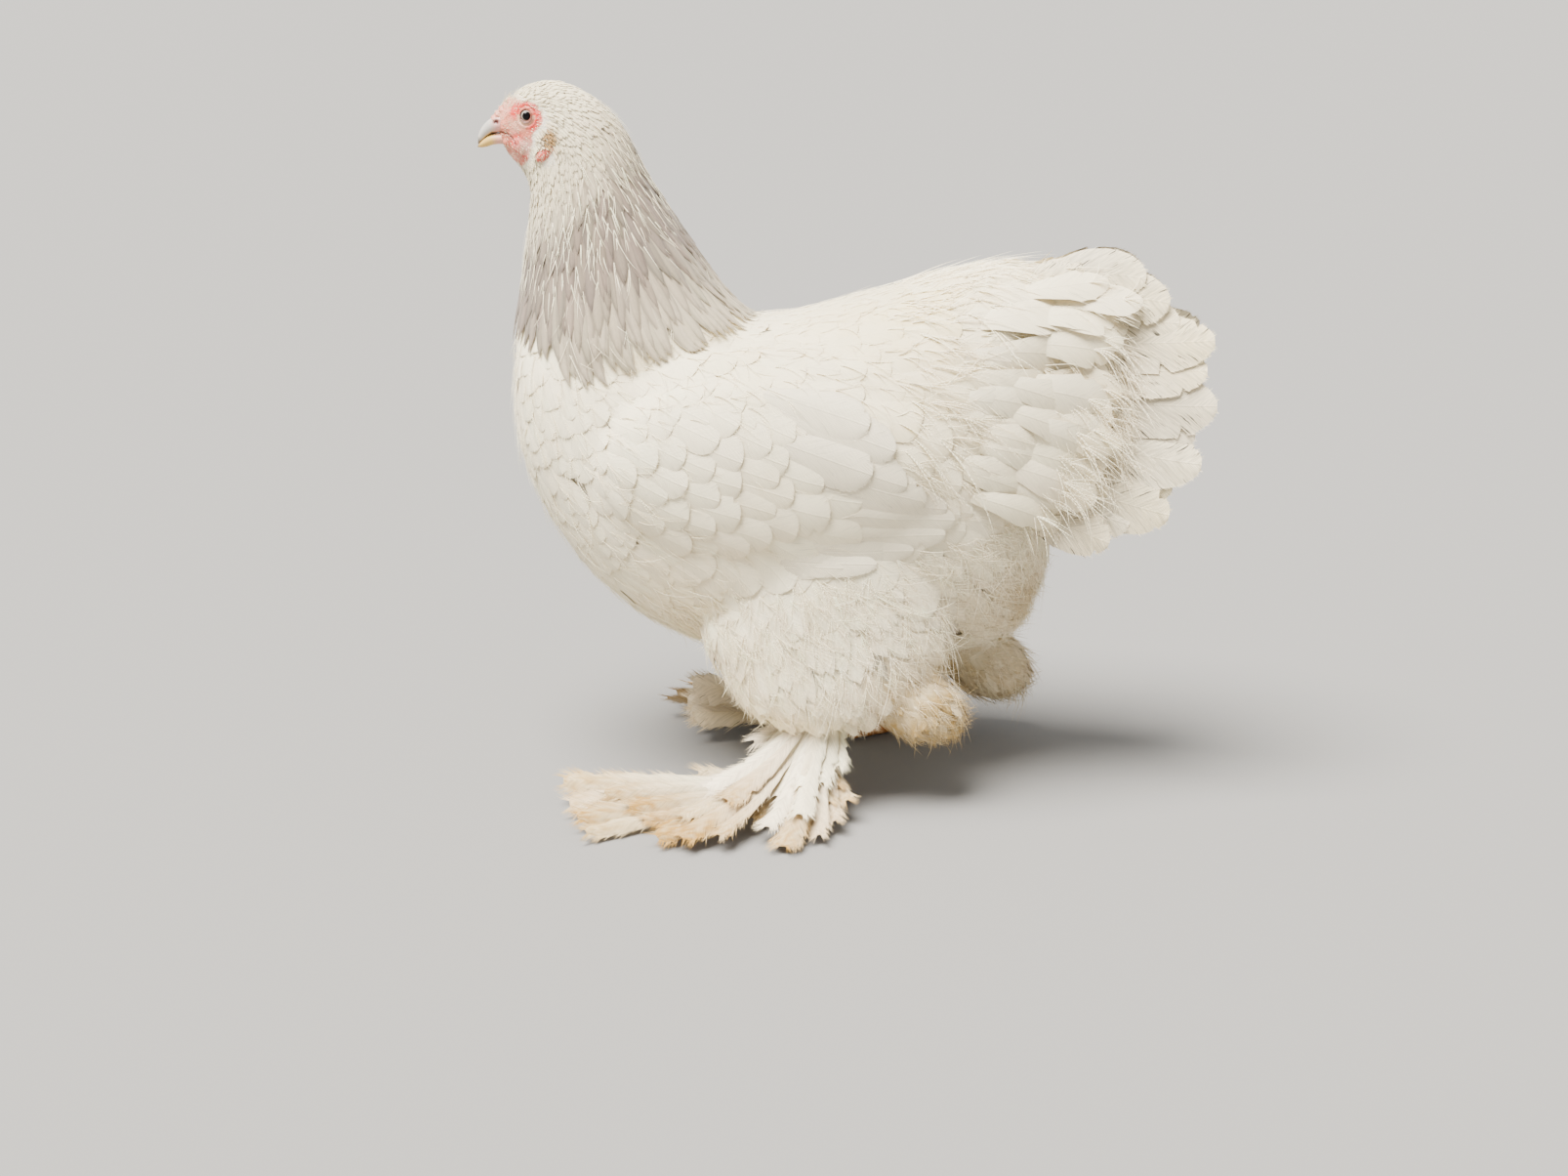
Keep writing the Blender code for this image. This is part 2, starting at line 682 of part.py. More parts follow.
# Main tail feathers of one side, top to bottom: root X, Y, Z, tip X, Y, Z
RECTRICES = (
    ((0.130, 0.006, 0.376), (0.2340, 0.010, 0.3990)),
    ((0.132, 0.010, 0.362), (0.2560, 0.024, 0.3780)),
    ((0.134, 0.014, 0.348), (0.2740, 0.038, 0.3490)),
    ((0.134, 0.018, 0.334), (0.2810, 0.052, 0.3130)),
    ((0.132, 0.022, 0.320), (0.2760, 0.064, 0.2740)),
    ((0.130, 0.025, 0.306), (0.2560, 0.073, 0.2380)),
    ((0.126, 0.027, 0.292), (0.2180, 0.078, 0.2080)),
)
RECTRIX_WIDTH, RECTRIX_BOW = 0.0195, 0.008
TAIL_FACING = (0.86, 0.50)  # Y and Z of the way a side's fan faces
# Coverts over their roots: X and Z of the root, heading up the tail, length
COVERTS = (
    (0.118, 0.388, 0.12, 0.094),
    (0.122, 0.346, -0.06, 0.098),
    (0.118, 0.302, -0.40, 0.088),
)
COVERT_WIDTH = 0.0245
COVERT_LIFT = (-0.0025, 0.0050)
VANE_THICKNESS = 0.0011
TAIL_TILT = -0.0026


def tail_node(where, tools, torso):
    """Two slanting fans of broad feathers leaning on one another, with coverts over their roots."""
    tail = upright_loft("tail", TAIL_ROOT, TAIL_ROOT_FRONT, TAIL_ROOT_BACK, 6, 14, where)
    tree = tree_of([torso, tail])
    pieces = []
    for side in SIDES:
        tilt = side * TAIL_TILT
        normal = Vector((0, side * TAIL_FACING[0], TAIL_FACING[1])).normalized()
        for root, tip in RECTRICES:
            start, end = (root[0], side * root[1], root[2]), (tip[0], side * tip[1], tip[2])
            line = straight(start, end, normal, RECTRIX_BOW, 4)
            level = (0, 0)
            pieces.append(vane("vane", line, RECTRIX_WIDTH, round_tip, where, level, VANE_THICKNESS, tilt, 2))
        for x, z, climb, length in COVERTS:
            start, _, _, _ = tree.ray_cast((x, side * 0.30, z), (0, -side, 0))
            line = drape(tree, start, (1.0, 0, climb), length, 4)
            pieces.append(
                vane("vane", line, COVERT_WIDTH, round_tip, where, COVERT_LIFT, VANE_THICKNESS, tilt * 0.5)
            )
    join(tail, pieces)
    cut(tail, [torso_solid("torso_room", tools, GAP)])
    return tail


def hock_lock(name, side, turn, pitch, length, where):
    """One tapering lock of down that leaves the puff behind the hock."""
    around, down = math.radians(turn), math.radians(pitch)
    level = math.cos(down)
    ahead = Vector((level * math.cos(around), side * level * math.sin(around), math.sin(down)))
    sag = Vector((0, 0, -LOCK_SAG))
    points = [puff_middle(side) + ahead * length * t + sag * t * t for t in (0.25, 0.6, 0.85)]
    return tube(name, points, LOCK_RADII, where, 6)


def thigh_node(side, where, tools):
    thigh = thigh_solid(f"thigh_{SIDES[side]}", side, where)
    pieces = [hock_fluff("puff", side, where)]
    for turn, pitch, length in LOCKS:
        pieces.append(hock_lock("lock", side, turn, pitch, length, where))
    join(thigh, pieces)
    cut(thigh, [torso_solid("torso_room", tools, GAP)])
    return thigh


# Toes of the left foot: name, heading in degrees from straight ahead (outwards is positive), length
TOES = (("middle", 4, 0.058), ("outer", 42, 0.046), ("inner", -36, 0.042), ("hind", 168, 0.022))
TOE_RADIUS, TOE_LEVEL = 0.0058, 0.0052
PAD_LEVEL, PAD_SIZE = 0.0070, (0.0125, 0.0115, 0.0090)
ANKLE, HOCK = (0.002, 0.012), (0.022, HOCK_HEIGHT)  # X from the foot's and Z
CLAW_LENGTH, HIND_SHARE = 0.013, 0.8
CLAW_RADII = (0.0034, 0.0028, 0.0018)
CLAW_ARCH, CLAW_DROP = 0.0016, 0.0024


def toe_frame(side, degrees):
    angle = math.radians(degrees)
    return Vector((-math.cos(angle), side * math.sin(angle), 0))


def toe_path(side, degrees, length):
    ahead = toe_frame(side, degrees)
    start = Vector((FOOT_X[side], side * STANCE, TOE_LEVEL))
    points = [start + ahead * length * t for t in (0.0, 0.35, 0.7, 1.0)]
    radii = [TOE_RADIUS * r for r in (1.15, 1.0, 0.94, 0.76)]
    return points, radii


# Feathers of one shank: height of the root, heading, length, half width, height of the tip
SHANK_VANES = (
    (0.058, 104, 0.070, 0.0140, 0.0240),
    (0.050, 66, 0.084, 0.0150, 0.0150),
    (0.040, 88, 0.102, 0.0155, 0.0080),
)
# Feathers of the toes: toe, share of its length at the root, heading, length, half width
TOE_VANES = (
    ("outer", 0.30, 108, 0.084, 0.0155),
    ("outer", 0.70, 66, 0.100, 0.0165),
    ("middle", 0.40, 44, 0.112, 0.0170),
    ("middle", 0.66, 24, 0.110, 0.0170),
    ("middle", 0.92, 5, 0.094, 0.0155),
    ("middle", 0.55, -16, 0.074, 0.0125),
)
FOOT_TILT = -0.0012
FEATHER_ROOT = 0.0072  # height of a toe feather's root
FEATHER_TIPS = (0.0034, 0.0050, 0.0066)  # heights of their tips, in turn


def foot_feather(name, root, heading, length, half_width, tip_height, side, where):
    """A stiff feather that leaves the foot and settles towards the floor."""
    ahead = toe_frame(side, heading)
    root = Vector(root)
    line = []
    steps = 3
    for i in range(steps + 1):
        t = station(i, steps)
        z = root.z + (tip_height - root.z) * math.sin(t * math.pi / 2)
        point = Vector((root.x + ahead.x * length * t, root.y + ahead.y * length * t, z))
        line.append((point, Vector((0, 0, 1))))
    return vane(name, line, half_width, round_tip, where, (0, 0), VANE_THICKNESS, side * FOOT_TILT)


def foot_node(side, where, tools):
    """Shank, toes and the stiff feathers that grow on their outer side."""
    x, y = FOOT_X[side], side * STANCE
    drop = HOCK_DROP[side]
    hock = Vector((x + HOCK[0] + drop * 0.8, y - side * 0.002, HOCK[1] - drop))
    ankle = Vector((x + ANKLE[0], y, ANKLE[1]))
    points = [ankle.lerp(hock, t) for t in (0.0, 0.33, 0.66, 1.0)]
    radii = [SHANK_RADIUS * r for r in (1.05, 0.92, 0.98, 1.15)]
    foot = tube(f"foot_{SIDES[side]}", points, radii, where, 12)
    pieces = [ball("pad", (x, y, PAD_LEVEL), PAD_SIZE, where, 14)]
    for name, degrees, length in TOES:
        path, sizes = toe_path(side, degrees, length)
        pieces.append(tube("toe", path, sizes, where, 10, point_end=False))
    for height, heading, length, half_width, tip_height in SHANK_VANES:
        root = ankle.lerp(hock, (height - ankle.z) / (hock.z - ankle.z))
        pieces.append(foot_feather("vane", root, heading, length, half_width, tip_height, side, where))
    lengths = {name: (degrees, length) for name, degrees, length in TOES}
    for k, (toe, share, heading, length, half_width) in enumerate(TOE_VANES):
        degrees, reach = lengths[toe]
        root = Vector((x, y, FEATHER_ROOT)) + toe_frame(side, degrees) * reach * share
        tip_height = FEATHER_TIPS[k % len(FEATHER_TIPS)]
        pieces.append(foot_feather("vane", root, heading, length, half_width, tip_height, side, where))
    join(foot, pieces)
    cut(foot, [half_space("floor", (0, 0, 0), (0, 0, -1), tools)])
    cut(foot, [thigh_solid("thigh_room", side, tools, GAP), hock_fluff("puff_room", side, tools, GAP)])
    cut(foot, [claw_solid("claw_room", side, *toe, tools, GAP) for toe in TOES])
    return foot


def claw_solid(name, side, toe, degrees, length, where, grow=0.0):
    """A curved claw at the end of its toe."""
    path, _ = toe_path(side, degrees, length)
    ahead = toe_frame(side, degrees)
    start = path[-1] - ahead * 0.0008
    reach = CLAW_LENGTH * (HIND_SHARE if toe == "hind" else 1.0)
    up = Vector((0, 0, 1))
    across = ahead.cross(up)
    rings = []
    for t, radius in zip((0.0, 0.35, 0.7), CLAW_RADII):
        rise = CLAW_ARCH * math.sin(math.pi * t) - 0.83 * CLAW_DROP * t**2
        point = start + ahead * reach * t + up * rise
        rings.append(rounded_ring(point, radius * 0.8, radius, across, up, 10, 2.0))
    tip = start + ahead * reach - up * CLAW_DROP
    return loft(name, rings, start, tip, where, grow)


def main():
    clear_scene()
    hen = collection("brahma_hen")
    tools = collection("cutters", hidden=True)

    down = material("white_feather", (0.86, 0.84, 0.78), 0.85)
    lavender = material("lavender_hackle", (0.62, 0.59, 0.57), 0.8)
    skin = material("face_skin", (0.78, 0.42, 0.38), 0.6)
    horn = material("beak_horn", (0.72, 0.62, 0.42), 0.45)
    iris = material("eye", (0.30, 0.14, 0.05), 0.1)

    torso = torso_solid("torso", hen)
    neck_shape = neck_solid("neck_shape", tools)
    head = head_node(hen, tools)
    neck = neck_node(hen, tools, tree_of([torso, neck_shape]))
    nodes = {torso: down, head: down, neck: lavender}
    face = [neck_solid("face_room", tools, GAP)]
    upper, lower = beak_nodes(hen, tools, face)
    nodes[upper] = nodes[lower] = horn
    beak_room = [beak_half("beak_room", top, tools, GAP) for top in (True, False)]
    nodes[comb_node(hen, face + beak_room[:1])] = skin
    for side in SIDES:
        nodes[wattle_node(side, hen, face + beak_room[1:])] = skin
        nodes[eye_ball(f"eye_{SIDES[side]}", side, hen)] = iris
        nodes[thigh_node(side, hen, tools)] = down
        nodes[wing_node(side, hen, tools, [torso, thigh_solid("thigh_shape", side, tools)])] = down
        nodes[foot_node(side, hen, tools)] = down
        for toe, degrees, length in TOES:
            claw = claw_solid(f"claw_{SIDES[side]}_{toe}", side, toe, degrees, length, hen)
            nodes[claw] = horn
    nodes[tail_node(hen, tools, torso)] = down
    for node, finish in nodes.items():
        node.data.materials.clear()
        node.data.materials.append(finish)
        node.data.shade_smooth()
    for tool in tools.objects:
        tool.display_type = "WIRE"


main()
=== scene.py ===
import math

import bmesh
import bpy
import numpy as np
from mathutils import Matrix, Vector
from mathutils.bvhtree import BVHTree
from mathutils.kdtree import KDTree


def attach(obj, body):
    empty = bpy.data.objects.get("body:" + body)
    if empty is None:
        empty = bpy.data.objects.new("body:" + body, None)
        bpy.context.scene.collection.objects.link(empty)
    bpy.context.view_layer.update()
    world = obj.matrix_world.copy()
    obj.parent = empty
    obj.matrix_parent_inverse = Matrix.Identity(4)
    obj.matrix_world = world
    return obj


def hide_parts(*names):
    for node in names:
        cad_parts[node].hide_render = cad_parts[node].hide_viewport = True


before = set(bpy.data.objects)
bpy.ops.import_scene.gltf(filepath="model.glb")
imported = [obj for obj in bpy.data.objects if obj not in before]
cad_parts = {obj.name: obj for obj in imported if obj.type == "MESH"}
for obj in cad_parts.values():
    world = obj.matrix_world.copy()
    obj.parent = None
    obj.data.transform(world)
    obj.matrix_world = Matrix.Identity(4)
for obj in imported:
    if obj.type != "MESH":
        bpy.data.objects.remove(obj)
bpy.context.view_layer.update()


# Studio
# Pale matt paper under the model, an even white surround and one broad lamp overhead,
# seen from the height of a person crouching at the hen's left side.
def linear(code):
    """An sRGB hex colour as linear values."""
    parts = [int(code[i : i + 2], 16) / 255 for i in (1, 3, 5)]
    return [p / 12.92 if p <= 0.04045 else ((p + 0.055) / 1.055) ** 2.4 for p in parts]


def finish_of(name):
    """A new material, its node tree and its shader."""
    made = bpy.data.materials.new(name)
    made.use_nodes = True
    return made, made.node_tree, made.node_tree.nodes["Principled BSDF"]


def add_node(tree, kind, settings=(), **links):
    """A node with its properties set, and its inputs given a value or linked to an output."""
    node = tree.nodes.new(kind)
    for key, value in dict(settings).items():
        setattr(node, key, value)
    for key, value in links.items():
        socket = node.inputs[int(key[1:])] if key[1:].isdigit() else node.inputs[key.replace("_", " ")]
        if isinstance(value, bpy.types.NodeSocket):
            tree.links.new(value, socket)
        else:
            socket.default_value = value
    return node


def maths(tree, operation, *values):
    """The output of a maths node on numbers or outputs."""
    inputs = {f"_{index}": value for index, value in enumerate(values)}
    return add_node(tree, "ShaderNodeMath", {"operation": operation}, **inputs).outputs[0]


paper, _, paper_shader = finish_of("studio_paper")
paper_shader.inputs["Base Color"].default_value = (*linear("#84827E"), 1)
paper_shader.inputs["Roughness"].default_value = 0.9
bm = bmesh.new()
bmesh.ops.create_grid(bm, x_segments=1, y_segments=1, size=60.0)
floor_mesh = bpy.data.meshes.new("floor")
bm.to_mesh(floor_mesh)
bm.free()
floor = bpy.data.objects.new("floor", floor_mesh)
bpy.context.scene.collection.objects.link(floor)
floor.data.materials.append(paper)

surround = bpy.data.worlds.new("surround")
surround.use_nodes = True
surround.node_tree.nodes["Background"].inputs["Color"].default_value = (0.97, 0.98, 1.0, 1)
surround.node_tree.nodes["Background"].inputs["Strength"].default_value = 0.82
bpy.context.scene.world = surround

lamp_data = bpy.data.lights.new("overhead", "SUN")
lamp_data.energy = 15.8
lamp_data.angle = math.radians(38)
lamp_data.color = (1.0, 0.975, 0.94)
lamp = bpy.data.objects.new("overhead", lamp_data)
lamp.rotation_euler = (math.radians(16), math.radians(-19), 0)
bpy.context.scene.collection.objects.link(lamp)

# The camera looks down by 16 degrees, as the photo's did, and is rolled a little
CAMERA_AT, CAMERA_TILT, CAMERA_ROLL, LENS_MM = (-0.0435, -1.795, 0.65), 74.3, 1.2, 54.07
camera_data = bpy.data.cameras.new("camera")
camera_data.sensor_fit = "HORIZONTAL"
camera_data.sensor_width = 36.0
camera_data.lens = LENS_MM
camera_data.clip_start = 0.05
camera = bpy.data.objects.new("camera", camera_data)
camera.matrix_world = (
    Matrix.Translation(CAMERA_AT)
    @ Matrix.Rotation(math.radians(CAMERA_TILT), 4, "X")
    @ Matrix.Rotation(math.radians(CAMERA_ROLL), 4, "Z")
)
bpy.context.scene.collection.objects.link(camera)
bpy.context.scene.camera = camera


# Body form
# The shape that the plumage makes: breast, back, neck, thighs, the puffs behind the hocks,
# the folded wings and the root of the tail. The coat lies on it and the skin lies under it.
# Rows of TORSO and TAIL_ROOT: X, lowest Z, highest Z, half width. Rows of NECK: X and Z at the back,
# X and Z in front, half width. Rows of THIGH: Z, front and back X from the foot, middle Y, half width.
TORSO = (
    (-0.2480, 0.262, 0.350, 0.046),
    (-0.2360, 0.226, 0.366, 0.068),
    (-0.2120, 0.186, 0.373, 0.086),
    (-0.1800, 0.150, 0.373, 0.100),
    (-0.1400, 0.124, 0.367, 0.110),
    (-0.0950, 0.108, 0.360, 0.116),
    (-0.0450, 0.102, 0.363, 0.118),
    (0.0050, 0.100, 0.377, 0.116),
    (0.0500, 0.101, 0.390, 0.110),
    (0.0900, 0.105, 0.401, 0.099),
    (0.1200, 0.112, 0.405, 0.083),
    (0.1420, 0.128, 0.400, 0.063),
    (0.1570, 0.162, 0.380, 0.040),
)
NECK = (
    (-0.2640, 0.5120, -0.2600, 0.4820, 0.0090),
    (-0.2585, 0.5190, -0.2550, 0.4745, 0.0135),
    (-0.2460, 0.5300, -0.2475, 0.4690, 0.0190),
    (-0.2285, 0.5350, -0.2430, 0.4630, 0.0235),
    (-0.2130, 0.5330, -0.2405, 0.4540, 0.0262),
    (-0.1985, 0.5265, -0.2405, 0.4440, 0.0282),
    (-0.1850, 0.5170, -0.2415, 0.4340, 0.0302),
    (-0.1735, 0.5040, -0.2428, 0.4230, 0.0330),
    (-0.1650, 0.4890, -0.2442, 0.4120, 0.0370),
    (-0.1560, 0.4710, -0.2458, 0.4000, 0.0430),
    (-0.1440, 0.4520, -0.2475, 0.3880, 0.0505),
    (-0.1310, 0.4320, -0.2492, 0.3760, 0.0590),
    (-0.1180, 0.4120, -0.2508, 0.3640, 0.0680),
    (-0.1050, 0.3930, -0.2522, 0.3520, 0.0750),
    (-0.0910, 0.3760, -0.2530, 0.3390, 0.0815),
    (-0.0760, 0.3620, -0.2515, 0.3240, 0.0860),
    (-0.0640, 0.3440, -0.2460, 0.3020, 0.0860),
)
THIGH = (
    (0.0690, -0.038, 0.050, 0.085, 0.026),
    (0.0770, -0.053, 0.066, 0.085, 0.034),
    (0.0920, -0.068, 0.080, 0.084, 0.039),
    (0.1120, -0.081, 0.092, 0.081, 0.042),
    (0.1350, -0.092, 0.098, 0.078, 0.044),
    (0.1600, -0.084, 0.092, 0.076, 0.045),
    (0.1850, -0.070, 0.078, 0.077, 0.042),
    (0.2080, -0.050, 0.058, 0.079, 0.037),
    (0.2260, -0.024, 0.032, 0.078, 0.030),
)
TAIL_ROOT = (
    (0.1000, 0.262, 0.398, 0.064),
    (0.1350, 0.256, 0.402, 0.060),
    (0.1600, 0.258, 0.402, 0.050),
    (0.1850, 0.272, 0.398, 0.037),
    (0.2050, 0.298, 0.388, 0.022),
)
# By side, -1 for the left and 1 for the right: where the foot is, and how much lower its hock
FOOT_X = {-1: -0.018, 1: 0.050}
HOCK_DROP = {-1: 0.0, 1: 0.020}
# The share of the foot's X that the top of the thigh keeps
THIGH_LEAN = 0.45


def smooth_rows(table, count):
    """The rows of a table of sizes, resampled along a smooth curve."""
    rows = np.array(table, float)
    padded = np.vstack([2 * rows[0] - rows[1], rows, 2 * rows[-1] - rows[-2]])
    t = np.linspace(0, len(rows) - 1, count)
    i = np.minimum(t.astype(int), len(rows) - 2)
    f = (t - i)[:, None]
    a, b, c, d = padded[i], padded[i + 1], padded[i + 2], padded[i + 3]
    return 0.5 * (2 * b + (c - a) * f + (2 * a - 5 * b + 4 * c - d) * f**2 + (3 * b - a - 3 * c + d) * f**3)


def sleeve(bm, rings, segments, squareness, ends):
    """A closed skin bridged through rings, each (centre, half_a, axis_a, half_b, axis_b)."""
    rings, before = list(rings), None
    for index, (centre, half_a, axis_a, half_b, axis_b) in enumerate(rings):
        ring = bmesh.ops.create_circle(bm, segments=segments, radius=1.0)["verts"]
        edges = list({edge for v in ring for edge in v.link_edges})
        for v in ring:
            a = math.copysign(abs(v.co.x) ** (2 / squareness), v.co.x) * half_a
            b = math.copysign(abs(v.co.y) ** (2 / squareness), v.co.y) * half_b
            v.co = Vector(centre) + Vector(axis_a) * a + Vector(axis_b) * b
        if before:
            bmesh.ops.bridge_loops(bm, edges=before + edges)
        if index in (0, len(rings) - 1):
            cap = bmesh.ops.contextual_create(bm, geom=edges)["faces"]
            tip = bmesh.ops.poke(bm, faces=cap)["verts"][0]
            tip.co = Vector(ends[0 if index == 0 else 1])
        before = edges


def upright_rings(table, count):
    """Rings that stand across the body, from rows of X, lowest Z, highest Z and half width."""
    for x, low, high, width in smooth_rows(table, count):
        yield (x, 0, (low + high) / 2), width, (0, 1, 0), (high - low) / 2, (0, 0, 1)


def neck_rings(table, count, inset=0.0):
    """Rings across head and neck, drawn in by inset."""
    for top_x, top_z, low_x, low_z, width in smooth_rows(table, count):
        top, low = Vector((top_x, 0, top_z)), Vector((low_x, 0, low_z))
        up = (top - low) / 2
        yield (top + low) / 2, width - inset, (0, 1, 0), up.length - inset, up.normalized()


def thigh_rings(side, count):
    low, high = THIGH[0][0], THIGH[-1][0]
    for z, front, back, middle, width in smooth_rows(THIGH, count):
        share = 1 - (1 - THIGH_LEAN) * (z - low) / (high - low)
        drop = HOCK_DROP[side] * (1 - (z - low) / (high - low)) * 0.5
        x = FOOT_X[side] * share + (front + back) / 2
        yield (x, side * middle, z - drop), (back - front) / 2, (1, 0, 0), width, (0, 1, 0)


def blob(bm, centre, size, turn=None, segments=24):
    """A ball stretched to size."""
    matrix = Matrix.Translation(centre) @ (turn or Matrix.Identity(4)) @ Matrix.Diagonal((*size, 1))
    bmesh.ops.create_uvsphere(bm, u_segments=segments, v_segments=segments // 2, radius=1.0, matrix=matrix)


def object_of(bm, name):
    bmesh.ops.recalc_face_normals(bm, faces=bm.faces)
    mesh = bpy.data.meshes.new(name)
    bm.to_mesh(mesh)
    bm.free()
    made = bpy.data.objects.new(name, mesh)
    bpy.context.scene.collection.objects.link(made)
    return made


def apply_modifier(obj):
    """Leaves obj the plain mesh that its modifiers make of it."""
    graph = bpy.context.evaluated_depsgraph_get()
    mesh = bpy.data.meshes.new_from_object(obj.evaluated_get(graph))
    obj.modifiers.clear()
    obj.data = mesh


def voxel_form(obj, size, passes):
    """Closes overlapping shells into one even skin and smooths it."""
    remesh = obj.modifiers.new("close", "REMESH")
    remesh.mode = "VOXEL"
    remesh.voxel_size = size
    smooth = obj.modifiers.new("ease", "SMOOTH")
    smooth.factor, smooth.iterations = 0.5, passes
    apply_modifier(obj)


bm = bmesh.new()
sleeve(bm, upright_rings(TORSO, 34), 48, 2.35, ((-0.2540, 0, 0.306), (0.1640, 0, 0.280)))
sleeve(bm, neck_rings(NECK, 44), 40, 2.1, ((-0.2655, 0, 0.4975), (-0.1500, 0, 0.3000)))
sleeve(bm, upright_rings(TAIL_ROOT, 12), 28, 2.2, ((0.0900, 0, 0.335), (0.2140, 0, 0.350)))
for side in (-1, 1):
    ends = (
        (FOOT_X[side] + 0.004, side * 0.085, 0.060 - HOCK_DROP[side] / 2),
        (FOOT_X[side] * THIGH_LEAN, side * 0.076, 0.232),
    )
    sleeve(bm, thigh_rings(side, 20), 36, 2.1, ends)
    puff = (FOOT_X[side] + 0.076, side * 0.083, 0.082 - HOCK_DROP[side])
    blob(bm, puff, (0.037, 0.030, 0.028), Matrix.Rotation(math.radians(24), 4, "Y"))
    blob(bm, (-0.056, side * 0.098, 0.262), (0.130, 0.0335, 0.074))
    blob(bm, (-0.050, side * 0.078, 0.314), (0.120, 0.030, 0.036))
form = object_of(bm, "body_form")
voxel_form(form, 0.004, 8)


def surface_of(obj):
    """A search tree over a mesh, and its triangles as an array."""
    mesh = obj.data
    points = np.empty(len(mesh.vertices) * 3)
    mesh.vertices.foreach_get("co", points)
    points = points.reshape(-1, 3)
    mesh.calc_loop_triangles()
    corners = np.empty(len(mesh.loop_triangles) * 3, int)
    mesh.loop_triangles.foreach_get("vertices", corners)
    corners = corners.reshape(-1, 3)
    return BVHTree.FromPolygons(points.tolist(), corners.tolist()), points[corners]


form_tree, form_triangles = surface_of(form)


# Skin
# The hen's own skin in one piece, from the bare face with its low comb, lids, ear lobes and
# chin to the scaled toes. Thin, soft and pink on the face; horny plates on shank and toes.
def unit(vectors):
    return vectors / np.maximum(np.linalg.norm(vectors, axis=-1, keepdims=True), 1e-12)


def near(points, centre, reach):
    """1 at centre, fading to 0 over reach, which may differ along X, Y and Z."""
    away = (np.asarray(points) - np.asarray(centre)) / np.asarray(reach)
    return np.exp(-(away**2).sum(-1))


def right_half(points):
    """Points mirrored onto the right half of the body where they lie on the left one."""
    return points * (1, 0, 1) + np.abs(points) * (0, 1, 0)


BODY_DEPTH, NECK_DEPTH = 0.0036, 0.0032


def coat_depth(points):
    """How far the skin lies under the plumage."""
    neck = np.clip((points[:, 2] - 0.36) / 0.10, 0, 1) * np.clip(-points[:, 0] / 0.08, 0, 1)
    return BODY_DEPTH * (1 - neck) + NECK_DEPTH * neck


bm = bmesh.new()
bm.from_mesh(form.data)
bm.normal_update()
places = np.array([v.co[:] for v in bm.verts])
for v, depth in zip(bm.verts, coat_depth(places)):
    v.co -= v.normal * depth
skin = object_of(bm, "skin")
voxel_form(skin, 0.0045, 4)

# The head is modelled finer than the rest, then united with it
EYE = Vector((-0.2422, 0.0140, 0.5100))
EYE_RADIUS = 0.0058
HEAD_ROWS = (
    (-0.2640, 0.5120, -0.2605, 0.4850, 0.0088),
    (-0.2585, 0.5190, -0.2565, 0.4785, 0.0132),
    (-0.2460, 0.5300, -0.2495, 0.4715, 0.0188),
    (-0.2285, 0.5350, -0.2435, 0.4640, 0.0235),
    (-0.2130, 0.5330, -0.2405, 0.4540, 0.0262),
    (-0.1985, 0.5265, -0.2405, 0.4440, 0.0282),
    (-0.1850, 0.5170, -0.2415, 0.4340, 0.0302),
    (-0.1735, 0.5040, -0.2428, 0.4230, 0.0330),
    (-0.1650, 0.4890, -0.2442, 0.4120, 0.0370),
    (-0.1560, 0.4710, -0.2458, 0.4000, 0.0430),
)
# The comb is a hen's: three low rows of soft knobs that hardly rise from the forehead
COMB_ROW = ((-0.2685, 0.5072), (-0.2656, 0.5106), (-0.2627, 0.5140), (-0.2598, 0.5172), (-0.2569, 0.5202))
bm = bmesh.new()
sleeve(bm, neck_rings(HEAD_ROWS, 40, 0.0012), 56, 2.1, ((-0.2650, 0, 0.4975), (-0.1950, 0, 0.4300)))
for side in (-1, 1):
    blob(bm, (-0.2266, side * 0.0206, 0.4938), (0.0052, 0.0044, 0.0082))
    lobe = Matrix.Rotation(math.radians(50), 4, "Y")
    blob(bm, (-0.2288, side * 0.0222, 0.4826), (0.0044, 0.0056, 0.0080), lobe)
    blob(bm, (-0.2440, side * 0.0142, 0.4885), (0.0100, 0.0050, 0.0080))
    blob(bm, (-0.2545, side * 0.0088, 0.5010), (0.0080, 0.0038, 0.0070))
    blob(bm, (-0.2535, side * 0.0085, 0.4900), (0.0075, 0.0036, 0.0050))
    chin = Matrix.Rotation(math.radians(-32), 4, "Y")
    blob(bm, (-0.2505, side * 0.0072, 0.4800), (0.0036, 0.0028, 0.0075), chin)
    for x, z in COMB_ROW:
        blob(bm, (x + 0.0006, side * 0.0034, z - 0.0014), (0.0023, 0.0018, 0.0019), None, 12)
for x, z in COMB_ROW:
    blob(bm, (x, 0, z - 0.0003), (0.0025, 0.0022, 0.0025), None, 12)
head = object_of(bm, "head_skin")
voxel_form(head, 0.0007, 4)


def ripple(points, scale, seed):
    """Soft folds: a few crossing sine waves warped by one another, about -1 to 1."""
    rng = np.random.default_rng(seed)
    total = np.zeros(len(points))
    for octave in range(5):
        turn = unit(rng.normal(size=(2, 3)))
        bend = np.sin(points @ turn[1] / scale * 1.7 + octave)
        phase = points @ turn[0] / scale * (1 + 0.6 * octave) + 1.6 * bend + rng.uniform(0, 6)
        total += np.sin(phase) / (1 + octave)
    return total / 2.2


def off_line(points, path):
    """How far points lie from a line in side view."""
    flat, path = points[:, (0, 2)], np.array(path)
    best = np.full(len(flat), 1.0)
    for a, b in zip(path[:-1], path[1:]):
        t = np.clip(((flat - a) @ (b - a)) / ((b - a) @ (b - a)), 0, 1)[:, None]
        best = np.minimum(best, np.linalg.norm(flat - a - t * (b - a), axis=1))
    return best


